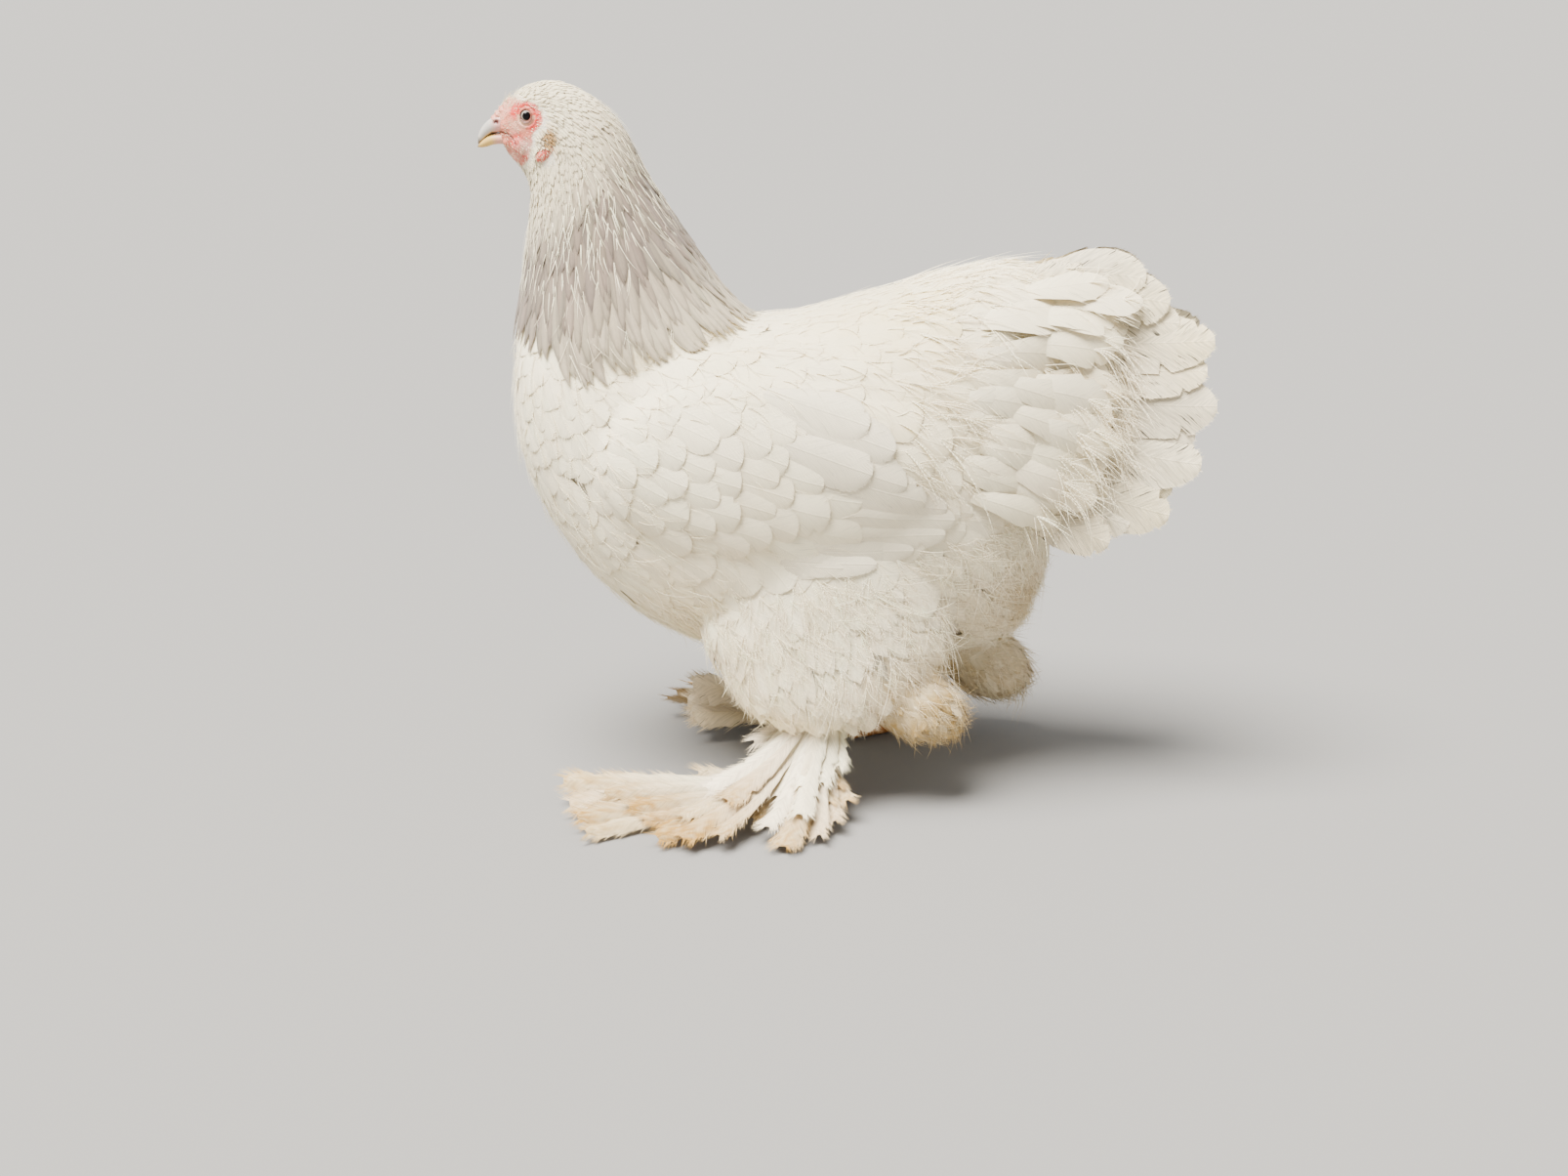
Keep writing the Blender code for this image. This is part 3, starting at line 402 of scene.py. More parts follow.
def within(points, outline, soft):
    """1 inside an outline in side view, 0 outside it, changing over soft at the line."""
    flat, ring = points[:, (0, 2)], np.array(outline)
    inside = np.zeros(len(flat), bool)
    for a, b in zip(ring, np.roll(ring, -1, axis=0)):
        crosses = (a[1] > flat[:, 1]) != (b[1] > flat[:, 1])
        meets = a[0] + (flat[:, 1] - a[1]) * (b[0] - a[0]) / (b[1] - a[1] + 1e-12)
        inside ^= crosses & (flat[:, 0] < meets)
    gap = off_line(points, np.vstack([ring, ring[:1]]))
    return np.clip(0.5 + np.where(inside, gap, -gap) / soft, 0, 1)


# Where the face is bare, and the lobe under the ear
FACE_EDGE = (
    (-0.2720, 0.5065), (-0.2630, 0.5175), (-0.2565, 0.5232), (-0.2515, 0.5218), (-0.2471, 0.5206), (-0.2410, 0.5204),
    (-0.2356, 0.5188), (-0.2312, 0.5148), (-0.2294, 0.5092), (-0.2307, 0.5040), (-0.2342, 0.5006), (-0.2372, 0.4972),
    (-0.2378, 0.4905), (-0.2390, 0.4840), (-0.2415, 0.4775), (-0.2470, 0.4715), (-0.2530, 0.4745), (-0.2580, 0.4795),
    (-0.2620, 0.4850), (-0.2720, 0.4850),
)
LOBE_EDGE = (
    (-0.2280, 0.4880), (-0.2229, 0.4904), (-0.2216, 0.4856), (-0.2256, 0.4800), (-0.2312, 0.4762), (-0.2354, 0.4790),
    (-0.2332, 0.4846),
)
MOUTH = ((-0.2640, 0.4970), (-0.2572, 0.4965), (-0.2539, 0.4940), (-0.2514, 0.4908), (-0.2500, 0.4884))


def face_share(points):
    """1 on the bare skin of face and lobes, 0 where feathers grow, with a ragged edge."""
    rough = points + 0.0009 * ripple(points, 0.0016, 21)[:, None]
    bare = np.maximum(within(rough, FACE_EDGE, 0.0016), within(rough, LOBE_EDGE, 0.0010))
    return bare * (1 - (points[:, 2] < 0.4745) * (np.abs(points[:, 1]) < 0.0055))


mesh = head.data
points = np.array([v.co[:] for v in mesh.vertices])
outward = np.array([v.normal[:] for v in mesh.vertices])
for side in (-1, 1):
    axis = unit(np.array([0.07, side, 0.06]))
    centre = np.array([EYE.x, side * EYE.y, EYE.z])
    offset = points - centre
    depth = offset @ axis
    flat = offset - depth[:, None] * axis
    # An opening a little taller than wide, its lids drawn to a corner in front and behind
    stretch = np.hypot(flat[:, 0] / 0.96, flat[:, 2] / 1.06)
    facing = (depth > 0) & (np.linalg.norm(offset, axis=1) < 0.02)
    rim = np.exp(-(((stretch - 0.0051) / 0.0008) ** 2)) * 0.0012
    fold = np.exp(-(((stretch - 0.0078) / 0.0008) ** 2)) * 0.0006
    fold -= np.exp(-(((stretch - 0.0065) / 0.0006) ** 2)) * 0.0004
    brow = near(points, centre + (0.001, side * 0.004, 0.0080), (0.0070, 0.005, 0.0022)) * 0.0010
    points += (outward * (rim + fold + brow)[:, None]) * facing[:, None]
    # The socket: the skin stops at the lids and turns in behind the eyeball
    inside = facing & (stretch < 0.0043)
    sunk = centre + unit(points - centre) * (EYE_RADIUS - 0.0012)
    points[inside] = sunk[inside]
bare = face_share(points)
points += outward * (bare * 0.00024 * ripple(points, 0.00075, 4))[:, None]
# The corner of the mouth runs on into the cheek as a crease, and the cheek wrinkles beside it
points -= outward * (0.0014 * np.exp(-((off_line(points, MOUTH) / 0.0006) ** 2)))[:, None]
from_mouth = off_line(points, MOUTH)
points += outward * (bare * 0.00014 * np.sin(from_mouth / 0.00045) * (from_mouth < 0.005))[:, None]
mesh.vertices.foreach_set("co", points.ravel())
mesh.update()

# Feet: shank, pad and toes
TOES = (("middle", 4, 0.058), ("outer", 42, 0.046), ("inner", -36, 0.042), ("hind", 168, 0.022))
STANCE, TOE_RADIUS = 0.080, 0.0058
SHANK_RADII = [0.0080 * share for share in (1.05, 0.98, 0.93, 0.92, 0.95, 1.0, 1.08, 1.15)]


def ahead(side, degrees):
    angle = math.radians(degrees)
    return Vector((-math.cos(angle), side * math.sin(angle), 0))


def limb(bm, points, radii, segments=24):
    """A round limb along points, closed at both ends."""
    rings = []
    for i, (point, radius) in enumerate(zip(points, radii)):
        along = (points[min(i + 1, len(points) - 1)] - points[max(i - 1, 0)]).normalized()
        across = along.cross(Vector((0, 0, 1)))
        if across.length < 0.3:
            across = Vector((0, 1, 0)) - along * along.y
        across.normalize()
        rings.append((point, radius, across, radius, across.cross(along).normalized()))
    tip = points[-1] + (points[-1] - points[-2]).normalized() * radii[-1] * 0.5
    sleeve(bm, rings, segments, 2.0, (points[0], tip))


leg_parts = []
for side in (-1, 1):
    x, y, drop = FOOT_X[side], side * STANCE, HOCK_DROP[side]
    ankle = Vector((x + 0.002, y, 0.012))
    hock = Vector((x + 0.022 + drop * 0.8, y - side * 0.002, 0.108 - drop))
    bm = bmesh.new()
    limb(bm, [ankle.lerp(hock, t) for t in np.linspace(0, 1, len(SHANK_RADII))], SHANK_RADII)
    blob(bm, (x, y, 0.0080), (0.0118, 0.0108, 0.0072))
    for name, degrees, length in TOES:
        way = ahead(side, degrees)
        start = Vector((x, y, 0.0058))
        shares = np.linspace(0, 1, 13)
        # Pads under the joints swell and the creases between them draw in
        swell = 1.04 - 0.26 * shares + 0.055 * np.cos(shares * math.tau * 3.2)
        limb(bm, [start + way * length * t for t in shares], [TOE_RADIUS * 0.97 * s for s in swell], 20)
    for v in bm.verts:
        v.co.z = max(v.co.z, 0.0004)
    leg = object_of(bm, "leg_skin")
    voxel_form(leg, 0.0013, 3)
    leg_parts.append(leg)

bodies = bpy.data.collections.new("skin_parts")
bpy.context.scene.collection.children.link(bodies)
for part in [head] + leg_parts:
    bpy.context.scene.collection.objects.unlink(part)
    bodies.objects.link(part)
bpy.data.objects.remove(form, do_unlink=True)
union = skin.modifiers.new("unite", "BOOLEAN")
union.operation, union.solver = "UNION", "MANIFOLD"
union.operand_type, union.collection = "COLLECTION", bodies
apply_modifier(skin)
for part in [head] + leg_parts:
    bpy.data.objects.remove(part, do_unlink=True)
bpy.data.collections.remove(bodies)
skin.data.polygons.foreach_set("use_smooth", [True] * len(skin.data.polygons))

points = np.array([v.co[:] for v in skin.data.vertices])
bare = face_share(points) * (points[:, 2] > 0.455)


def mix(low, high, share):
    share = np.asarray(share)[..., None]
    return np.asarray(low) * (1 - share) + np.asarray(high) * share


def paint(mesh, colours, alpha=1.0):
    """Gives each point of a mesh its colour, which the materials read as Tint."""
    shade = mesh.color_attributes.new("Tint", "FLOAT_COLOR", "POINT")
    shade.data.foreach_set("color", np.hstack([colours, np.full((len(colours), 1), alpha)]).ravel())


side_points = right_half(points)
from_eye = np.hypot(points[:, 0] - EYE.x, points[:, 2] - EYE.z)
# Red where blood lies close: place in side view, how far it spreads, how strong it is
FLUSH = ((-0.2352, 0.5072, 0.0036, 0.0052, 1.00), (-0.2376, 0.5015, 0.0036, 0.0036, 0.90),
         (-0.2488, 0.4946, 0.0048, 0.0036, 0.75), (-0.2524, 0.4895, 0.0040, 0.0028, 0.80),
         (-0.2442, 0.4787, 0.0034, 0.0030, 0.85), (-0.2495, 0.4840, 0.0032, 0.0032, 0.45),
         (-0.2290, 0.4822, 0.0078, 0.0072, 1.05), (-0.2505, 0.5131, 0.0032, 0.0034, 0.75))
flush = np.exp(-(((from_eye - 0.0096) / 0.0033) ** 2)) * np.clip((points[:, 2] - 0.5055) / 0.006, 0, 1)
for x, z, reach_x, reach_z, much in FLUSH:
    flush = flush + much * near(side_points, (x, 0.018, z), (reach_x, 0.014, reach_z))
tone = np.tile(linear("#F3E8D0"), (len(points), 1))
tone = mix(tone, linear("#D07A5F"), bare)
tone = mix(tone, linear("#DDB79C"), bare * 0.5 * near(side_points, (-0.2500, 0.017, 0.5030), (0.0060, 0.01, 0.0050)))
by_beak = within(points, FACE_EDGE, 0.0016) * (points[:, 0] + 0.9 * (0.5 - points[:, 2]) < -0.2665)
tone = mix(tone, linear("#DF937C"), bare * by_beak * 0.8)
tone = mix(tone, linear("#E8A592"), bare * 0.6 * near(side_points, (-0.2500, 0.010, 0.4800), (0.0070, 0.02, 0.0060)))
tone = mix(tone, linear("#E8C6BA"), bare * 0.6 * near(side_points, (-0.2415, 0.018, 0.4870), (0.0060, 0.01, 0.0060)))
blotch = 0.97 + 0.09 * ripple(points, 0.0013, 9)
tone = mix(tone, linear("#CE2B22"), np.clip(flush * blotch, 0, 0.90) * bare)
tone = mix(tone, linear("#F3D6CB"), 0.18 * bare * np.clip(-ripple(points, 0.0010, 12), 0, 1))
# Lids: a dark ring painted round their edge as painted shade of the lids, and a buff lower lid
lower_lid = np.exp(-(((from_eye - 0.0060) / 0.0009) ** 2)) * (points[:, 2] < EYE.z + 0.001)
lid_shade_ring = np.exp(-(((from_eye - 0.0046) / 0.0006) ** 2)) * (np.abs(points[:, 1]) > 0.008)
tone = mix(tone, linear("#D8B893"), bare * 0.8 * lower_lid)
tone = mix(tone, linear("#2E1B17"), lid_shade_ring)
# Painted shade: a dark line along the mouth's corner and its crease into the cheek
mouth_crease_shade = np.exp(-((off_line(points, MOUTH) / 0.00060) ** 2)) * (points[:, 2] > 0.48)
tone = mix(tone, linear("#4A1A16"), 0.92 * mouth_crease_shade)
legs = np.clip((0.105 - points[:, 2]) / 0.01, 0, 1)
tone = mix(tone, linear("#B5722F"), legs)
tone = mix(tone, linear("#7C4A24"), legs * np.clip(ripple(points, 0.004, 5), 0, 1) * 0.7)
paint(skin.data, tone)

# Hen's skin: blood close under a thin surface gives the pink, and it scatters light a millimetre in
hen_skin, tree, shader = finish_of("hen_skin")
place = add_node(tree, "ShaderNodeTexCoord")
tint = add_node(tree, "ShaderNodeAttribute", {"attribute_name": "Tint"})
grain = add_node(tree, "ShaderNodeTexVoronoi", Vector=place.outputs["Object"], Scale=850.0)
crease = add_node(tree, "ShaderNodeTexNoise", Vector=place.outputs["Object"], Scale=420.0, Detail=4.0)
relief = maths(tree, "ADD", grain.outputs["Distance"], crease.outputs["Fac"])
bump = add_node(tree, "ShaderNodeBump", Strength=0.6, Distance=0.0005, Height=relief)
tree.links.new(tint.outputs["Color"], shader.inputs["Base Color"])
tree.links.new(bump.outputs["Normal"], shader.inputs["Normal"])
shader.inputs["Roughness"].default_value = 0.5
shader.inputs["Subsurface Weight"].default_value = 0.10
shader.inputs["Subsurface Radius"].default_value = (1.0, 0.35, 0.2)
shader.inputs["Subsurface Scale"].default_value = 0.0012
skin.data.materials.clear()
skin.data.materials.append(hen_skin)
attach(skin, "root")
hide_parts("torso", "head", "neck", "thigh_left", "thigh_right", "comb", "wattle_left", "wattle_right")
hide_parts("foot_left", "foot_right")


# Eyes
# A round dark pupil in a thin grey iris under a wet, clear cornea. Made as one ball whose pole
# looks outwards; the lids hold it.
# Rings out from the pole: the black pupil, the grey iris, then a dark band painted at the opening's edge as the shade
# the lids cast on the ball
IRIS_AND_LID_SHADE_RINGS = ((0.0, "#050404"), (0.49, "#070505"), (0.53, "#3F362C"), (0.58, "#B3AA9B"), (0.66, "#968D7E"),
              (0.71, "#3E3026"), (0.77, "#170E0B"), (1.0, "#43211C"))

eye_finish, tree, shader = finish_of("wet_eye")
rings_of = add_node(tree, "ShaderNodeAttribute", {"attribute_name": "from_axis"})
place = add_node(tree, "ShaderNodeTexCoord")
fleck = add_node(tree, "ShaderNodeTexNoise", Vector=place.outputs["Object"], Scale=2600.0, Detail=2.0)
shift = maths(tree, "MULTIPLY_ADD", fleck.outputs["Fac"], 0.05, rings_of.outputs["Fac"])
ramp = add_node(tree, "ShaderNodeValToRGB", Fac=shift)
while len(ramp.color_ramp.elements) < len(IRIS_AND_LID_SHADE_RINGS):
    ramp.color_ramp.elements.new(0.5)
for stop, (at, code) in zip(ramp.color_ramp.elements, IRIS_AND_LID_SHADE_RINGS):
    stop.position, stop.color = min(1.0, at + 0.025), (*linear(code), 1)
tree.links.new(ramp.outputs["Color"], shader.inputs["Base Color"])
shader.inputs["Roughness"].default_value = 0.12
shader.inputs["Coat Weight"].default_value = 0.10
shader.inputs["Specular IOR Level"].default_value = 0.12
shader.inputs["Coat Roughness"].default_value = 0.02

for side, word in ((-1, "left"), (1, "right")):
    bm = bmesh.new()
    bmesh.ops.create_uvsphere(bm, u_segments=48, v_segments=40, radius=EYE_RADIUS)
    out_share = [max(0.0, v.co.z / EYE_RADIUS) for v in bm.verts]
    away = [math.hypot(v.co.x, v.co.y) / EYE_RADIUS for v in bm.verts]
    # The cornea bulges a little over the iris
    for v, share in zip(bm.verts, out_share):
        v.co.z += 0.0005 * max(0.0, share - 0.72) / 0.28
    turn = Vector((0, 0, 1)).rotation_difference(Vector((0.07, side, 0.06)).normalized()).to_matrix().to_4x4()
    place = Matrix.Translation((EYE.x, side * EYE.y, EYE.z)) @ turn
    bmesh.ops.transform(bm, matrix=place, verts=bm.verts)
    eye = object_of(bm, f"eyeball_{word}")
    ring_at = eye.data.attributes.new("from_axis", "FLOAT", "POINT")
    ring_at.data.foreach_set("value", [a if z > 0 else 1.0 for a, z in zip(away, out_share)])
    eye.data.polygons.foreach_set("use_smooth", [True] * len(eye.data.polygons))
    eye.data.materials.append(eye_finish)
    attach(eye, "root")
    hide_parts(f"eye_{word}")


# Beak
# Two horn sheaths, the upper one curving down to the tip of the lower, with a round nostril under
# a soft flap. Horn grown in layers: pink at its root, whitish along the ridge, yellow below.
BEAK_UPPER = (
    (-0.2545, 0.5035, 0.0076, 0.0078),
    (-0.2630, 0.5030, 0.0068, 0.0070),
    (-0.2695, 0.5006, 0.0056, 0.0058),
    (-0.2748, 0.4966, 0.0042, 0.0042),
    (-0.2784, 0.4920, 0.0026, 0.0026),
)
BEAK_LOWER = (
    (-0.2545, 0.4915, 0.0046, 0.0068),
    (-0.2630, 0.4918, 0.0042, 0.0060),
    (-0.2700, 0.4908, 0.0040, 0.0050),
    (-0.2752, 0.4884, 0.0033, 0.0037),
    (-0.2788, 0.4864, 0.0020, 0.0022),
)
NOSTRIL = (-0.2662, 0.0062, 0.5042)
# The cutting edge, level from the mouth's corner and then curving down to the tip: -X and Z
EDGE_AHEAD = (0.2545, 0.2630, 0.2700, 0.2745, 0.2780, 0.2800)
EDGE_HEIGHT = (0.4968, 0.4970, 0.4966, 0.4932, 0.4898, 0.4872)


def beak_rings(table, count):
    rows = smooth_rows(table, count)
    for i, (x, z, height, width) in enumerate(rows):
        after, before = rows[min(i + 1, count - 1)], rows[max(i - 1, 0)]
        along = Vector((after[0] - before[0], 0, after[1] - before[1])).normalized()
        yield (x, 0, z), width, (0, 1, 0), height, (along.z, 0, -along.x)


def dab(colours, points, code, much, at, reach):
    """Colours changed towards a code round a place."""
    return mix(colours, linear(code), near(points, at, reach) * much)


horn, tree, shader = finish_of("beak_horn")
tint = add_node(tree, "ShaderNodeAttribute", {"attribute_name": "Tint"})
place = add_node(tree, "ShaderNodeTexCoord")
stretch = add_node(tree, "ShaderNodeMapping", Vector=place.outputs["Object"], Scale=(260.0, 900.0, 900.0))
layers = add_node(tree, "ShaderNodeTexNoise", Vector=stretch.outputs["Vector"], Scale=1.0, Detail=5.0)
bump = add_node(tree, "ShaderNodeBump", Strength=0.35, Distance=0.0002, Height=layers.outputs["Fac"])
tree.links.new(tint.outputs["Color"], shader.inputs["Base Color"])
tree.links.new(bump.outputs["Normal"], shader.inputs["Normal"])
shader.inputs["Roughness"].default_value = 0.38
shader.inputs["Subsurface Weight"].default_value = 0.08
shader.inputs["Subsurface Scale"].default_value = 0.001

for part, table, tip in (("upper", BEAK_UPPER, (-0.2808, 0, 0.4872)), ("lower", BEAK_LOWER, (-0.2812, 0, 0.4850))):
    bm = bmesh.new()
    sleeve(bm, beak_rings(table, 30), 48, 2.0, ((-0.2525, 0, table[0][1]), tip))
    mesh_points = np.array([v.co[:] for v in bm.verts])
    x, y, z = mesh_points.T
    edge = np.interp(-x, EDGE_AHEAD, EDGE_HEIGHT)
    if part == "upper":
        for side in (-1, 1):
            dent = near(mesh_points, (NOSTRIL[0], side * NOSTRIL[1], NOSTRIL[2]), (0.0019, 0.0035, 0.0014))
            flap_at = (NOSTRIL[0] + 0.0002, side * 0.0052, NOSTRIL[2] + 0.0022)
            flap = near(mesh_points, flap_at, (0.0030, 0.0035, 0.0009))
            mesh_points[:, 1] += side * (0.0008 * flap - 0.0022 * dent)
        # The edge tucks in under a lip
        mesh_points[:, 1] *= 1 - 0.55 * np.clip((edge - z) / 0.0022, 0, 1)
    for v, point in zip(bm.verts, mesh_points):
        v.co = point
    beak = object_of(bm, f"beak_{part}_horn")
    if part == "upper":
        low_rim = np.clip((edge + 0.0016 - z) / 0.0012, 0, 1)
        colour = mix(np.tile(linear("#C4BDB2"), (len(x), 1)), linear("#DAB568"), low_rim * 0.8)
        colour = dab(colour, mesh_points, "#D6BC80", 0.8, (-0.2800, 0, 0.4885), (0.0022, 0.004, 0.0035))
        colour = dab(colour, mesh_points, "#A7A29C", 0.55, (-0.2728, 0, 0.5010), (0.0024, 0.0050, 0.0030))
        colour = mix(colour, linear("#DFA396"), np.clip((x + 0.2715) / 0.0060, 0, 1) * 0.85)
        colour = dab(colour, mesh_points, "#CFC6BD", 0.7, (-0.2655, 0.0, 0.5088), (0.0040, 0.01, 0.0012))
        for side in (-1, 1):
            place_at = (NOSTRIL[0], side * 0.0058, NOSTRIL[2])
            # Painted shade: the nostril's opening is painted dark, the shade inside the hole
            nostril_shade = np.clip(near(mesh_points, place_at, (0.0019, 0.0030, 0.0014)) * 1.7, 0, 0.95)
            colour = dab(colour, mesh_points, "#B2685C", 0.7, place_at, (0.0026, 0.0030, 0.0021))
            colour = mix(colour, linear("#57211B"), nostril_shade)
        # Painted shade along the cutting edge, where the gap of the mouth lies in shade
        mouth_gap_shade = np.clip((edge + 0.0005 - z) / 0.0008, 0, 1)
    else:
        pink_root = np.clip((x + 0.2700) / 0.0045, 0, 1)
        colour = mix(np.tile(linear("#DDB662"), (len(x), 1)), linear("#DDA091"), pink_root * 0.85)
        mouth_gap_shade = np.clip((z - (edge - 0.0010)) / 0.0008, 0, 1)
    # The mouth's gap is painted dark on both sheaths: painted shade
    paint(beak.data, mix(colour, linear("#43231A"), mouth_gap_shade * 0.92))
    beak.data.polygons.foreach_set("use_smooth", [True] * len(beak.data.polygons))
    beak.data.materials.append(horn)
    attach(beak, "root")
    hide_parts(f"beak_{part}")


# Feathers of head and throat
# Tiny cream feathers, a few millimetres long by the beak and longer down the neck, each a thin
# curved vane rooted in the skin and lying over the next. Keratin barbs, matt and soft.
SPINE = np.array(
    ((-0.272, 0.497), (-0.238, 0.500), (-0.211, 0.478), (-0.198, 0.435), (-0.180, 0.380), (-0.130, 0.300),
     (-0.050, 0.245), (0.050, 0.245), (0.130, 0.280), (0.190, 0.330), (0.270, 0.345))
)
SPINE_AT = np.array((0.0, 0.12, 0.22, 0.32, 0.42, 0.54, 0.66, 0.78, 0.88, 0.94, 1.0))
PATCH = 0.003


def unwrap(points, leg=None):
    """Where points lie on the skin's own unwrap: round and along the body, or one leg."""
    if leg is not None:
        u = np.arctan2(points[:, 1] - leg * 0.082, points[:, 0] - FOOT_X[leg]) / math.tau + 0.5
        low = 0.01 if leg < 0 else 0.51
        return np.stack([low + 0.48 * u, 0.01 + 0.27 * np.clip(points[:, 2] / 0.25, 0, 1)], 1)
    dense = np.linspace(0, len(SPINE) - 1, 400)
    line = np.stack([np.interp(dense, range(len(SPINE)), SPINE[:, k]) for k in (0, 1)], 1)
    at = np.interp(dense, range(len(SPINE)), SPINE_AT)
    way = unit(np.gradient(line, axis=0))
    index = np.array([np.argmin(((line - p) ** 2).sum(1)) for p in points[:, (0, 2)]])
    rise = (points[:, 0] - line[index, 0]) * -way[index, 1] + (points[:, 2] - line[index, 1]) * way[index, 0]
    u = np.arctan2(points[:, 1], rise) / math.tau + 0.5
    return np.stack([0.01 + 0.98 * u, 0.30 + 0.69 * at[index]], 1)


# The way feathers point: a place on the right half and a direction there
FLOW = np.array(
    (
        (-0.262, 0.000, 0.515, 0.60, 0.00, 0.70), (-0.245, 0.000, 0.531, 0.90, 0.00, 0.30),
        (-0.215, 0.000, 0.535, 1.00, 0.00, -0.30), (-0.192, 0.000, 0.522, 0.70, 0.00, -0.75),
        (-0.235, 0.022, 0.518, 0.95, 0.00, -0.10), (-0.215, 0.026, 0.500, 0.70, 0.05, -0.75),
        (-0.222, 0.026, 0.475, 0.25, 0.05, -1.00), (-0.248, 0.000, 0.465, 0.45, 0.00, -0.90),
        (-0.258, 0.008, 0.478, 0.70, 0.10, -0.70), (-0.170, 0.000, 0.498, 0.50, 0.00, -0.85),
        (-0.200, 0.035, 0.450, 0.12, 0.06, -1.00), (-0.243, 0.000, 0.430, -0.02, 0.00, -1.00),
        (-0.140, 0.000, 0.445, 0.55, 0.00, -0.83), (-0.180, 0.070, 0.390, 0.16, 0.12, -1.00),
        (-0.130, 0.075, 0.385, 0.42, 0.12, -0.90), (-0.252, 0.000, 0.370, 0.00, 0.00, -1.00),
        (-0.085, 0.000, 0.370, 0.85, 0.00, -0.45), (-0.100, 0.080, 0.345, 0.75, 0.08, -0.65),
        (-0.252, 0.000, 0.300, 0.08, 0.00, -1.00), (-0.225, 0.070, 0.290, 0.45, 0.10, -0.90),
        (-0.210, 0.070, 0.220, 0.70, 0.05, -0.75), (-0.215, 0.000, 0.190, 0.50, 0.00, -0.85),
        (-0.150, 0.090, 0.170, 0.90, 0.00, -0.45), (-0.130, 0.000, 0.120, 1.00, 0.00, -0.25),
        (-0.150, 0.110, 0.290, 0.90, 0.05, -0.38), (-0.100, 0.120, 0.240, 0.98, 0.00, -0.20),
        (0.000, 0.125, 0.240, 1.00, 0.00, -0.12), (0.080, 0.105, 0.240, 1.00, 0.00, -0.16),
        (-0.040, 0.060, 0.350, 1.00, 0.00, 0.02), (0.020, 0.030, 0.385, 1.00, 0.00, 0.12),
        (0.080, 0.000, 0.400, 1.00, 0.00, 0.10), (0.080, 0.080, 0.340, 1.00, 0.00, 0.00),
        (0.130, 0.050, 0.370, 1.00, 0.00, 0.02), (0.130, 0.060, 0.300, 0.80, 0.00, -0.45),
        (0.150, 0.030, 0.230, 0.45, 0.00, -0.90), (0.150, 0.000, 0.170, 0.40, 0.00, -0.90),
        (0.100, 0.070, 0.160, 0.70, 0.00, -0.70), (0.000, 0.000, 0.100, 1.00, 0.00, -0.10),
        (-0.070, 0.110, 0.180, 0.60, 0.00, -0.80), (0.000, 0.120, 0.170, 0.60, 0.00, -0.80),
        (0.070, 0.115, 0.170, 0.75, 0.00, -0.65), (-0.080, 0.110, 0.120, 0.35, 0.00, -0.95),
        (0.000, 0.125, 0.100, 0.40, 0.00, -0.95), (0.060, 0.110, 0.090, 0.80, 0.00, -0.60),
        (0.100, 0.085, 0.080, 0.90, 0.00, -0.45),
    )
)


def flow(points):
    """The feathers' direction at points, the same on both halves of the body."""
    away = ((right_half(points)[:, None, :] - FLOW[None, :, :3]) ** 2).sum(2)
    weight = 1 / (away + 0.00012) ** 2
    way = unit(weight @ unit(FLOW[:, 3:]))
    way[:, 1] *= np.sign(points[:, 1])
    return way


def sow(triangles, share, spacing, seed):
    """Places spread evenly over triangles, about spacing apart, where share (0 to 1) allows it."""
    rng = np.random.default_rng(seed)
    a, b, c = triangles[:, 0], triangles[:, 1], triangles[:, 2]
    middle = triangles.mean(1)
    area = np.linalg.norm(np.cross(b - a, c - a), axis=1) / 2
    apart = spacing(middle) if callable(spacing) else np.full(len(middle), spacing)
    wanted = area * share(middle) / apart**2
    # 2.6 tries for each place wanted
    count = int(wanted.sum() * 26 / 10)
    pick = rng.choice(len(middle), size=count, p=wanted / wanted.sum())
    p, q = rng.random((2, count, 1))
    fold = (p + q) > 1
    p, q = np.where(fold, 1 - p, p), np.where(fold, 1 - q, q)
    spots = a[pick] + (b[pick] - a[pick]) * p + (c[pick] - a[pick]) * q
    reach = apart[pick] * 0.82
    tree = KDTree(count)
    for i, spot in enumerate(spots):
        tree.insert(spot, i)
    tree.balance()
    free = np.ones(count, bool)
    kept = []
    for i in range(count):
        if free[i]:
            kept.append(i)
            for _, j, _ in tree.find_range(spots[i], reach[i]):
                free[j] = False
    return spots[kept]


def stations(count):
    """Shares of a feather's length at its cross sections, closer together at the tip."""
    return 1 - (1 - np.linspace(0, 1, count)) ** 1.55


def lay(tree, starts, headings, lengths, count, steer=0.5):
    """Lines laid over a surface from starts, turning with the plumage: points and normals."""
    shares = stations(count)
    points = np.zeros((len(starts), count, 3))
    normals = np.zeros_like(points)
    way = unit(headings.copy())

    def settle(places, index):
        for n, place in enumerate(places):
            point, normal, _, _ = tree.find_nearest(place)
            points[n, index], normals[n, index] = point, normal

    settle(starts, 0)
    for i in range(1, count):
        if steer:
            way = unit(way * (1 - steer) + flow(points[:, i - 1]) * steer)
        normal = normals[:, i - 1]
        way = unit(way - normal * (way * normal).sum(1, keepdims=True))
        stride = (lengths * (shares[i] - shares[i - 1]))[:, None]
        settle(points[:, i - 1] + way * stride, i)
    normals[:, 1:-1] = unit(normals[:, :-2] + normals[:, 1:-1] + normals[:, 2:])
    return points, normals


def upward(tree, places):
    """A surface's normals at its points nearest to places."""
    return np.array([tree.find_nearest(place)[1][:] for place in places])


def rounded(t):
    """Half width of a broad feather along its length, as a share of the widest."""
    return np.minimum(1, 0.30 + 1.5 * t) * np.sqrt(np.clip(1 - np.clip((t - 0.55) / 0.455, 0, 1) ** 2.3, 0.004, 1))


def pointed(t):
    """The same for a spear-shaped hackle feather."""
    return np.clip(0.40 + 1.3 * t, 0, 1) * np.clip(1 - np.clip((t - 0.42) / 0.59, 0, 1) ** 1.8, 0.02, 1)


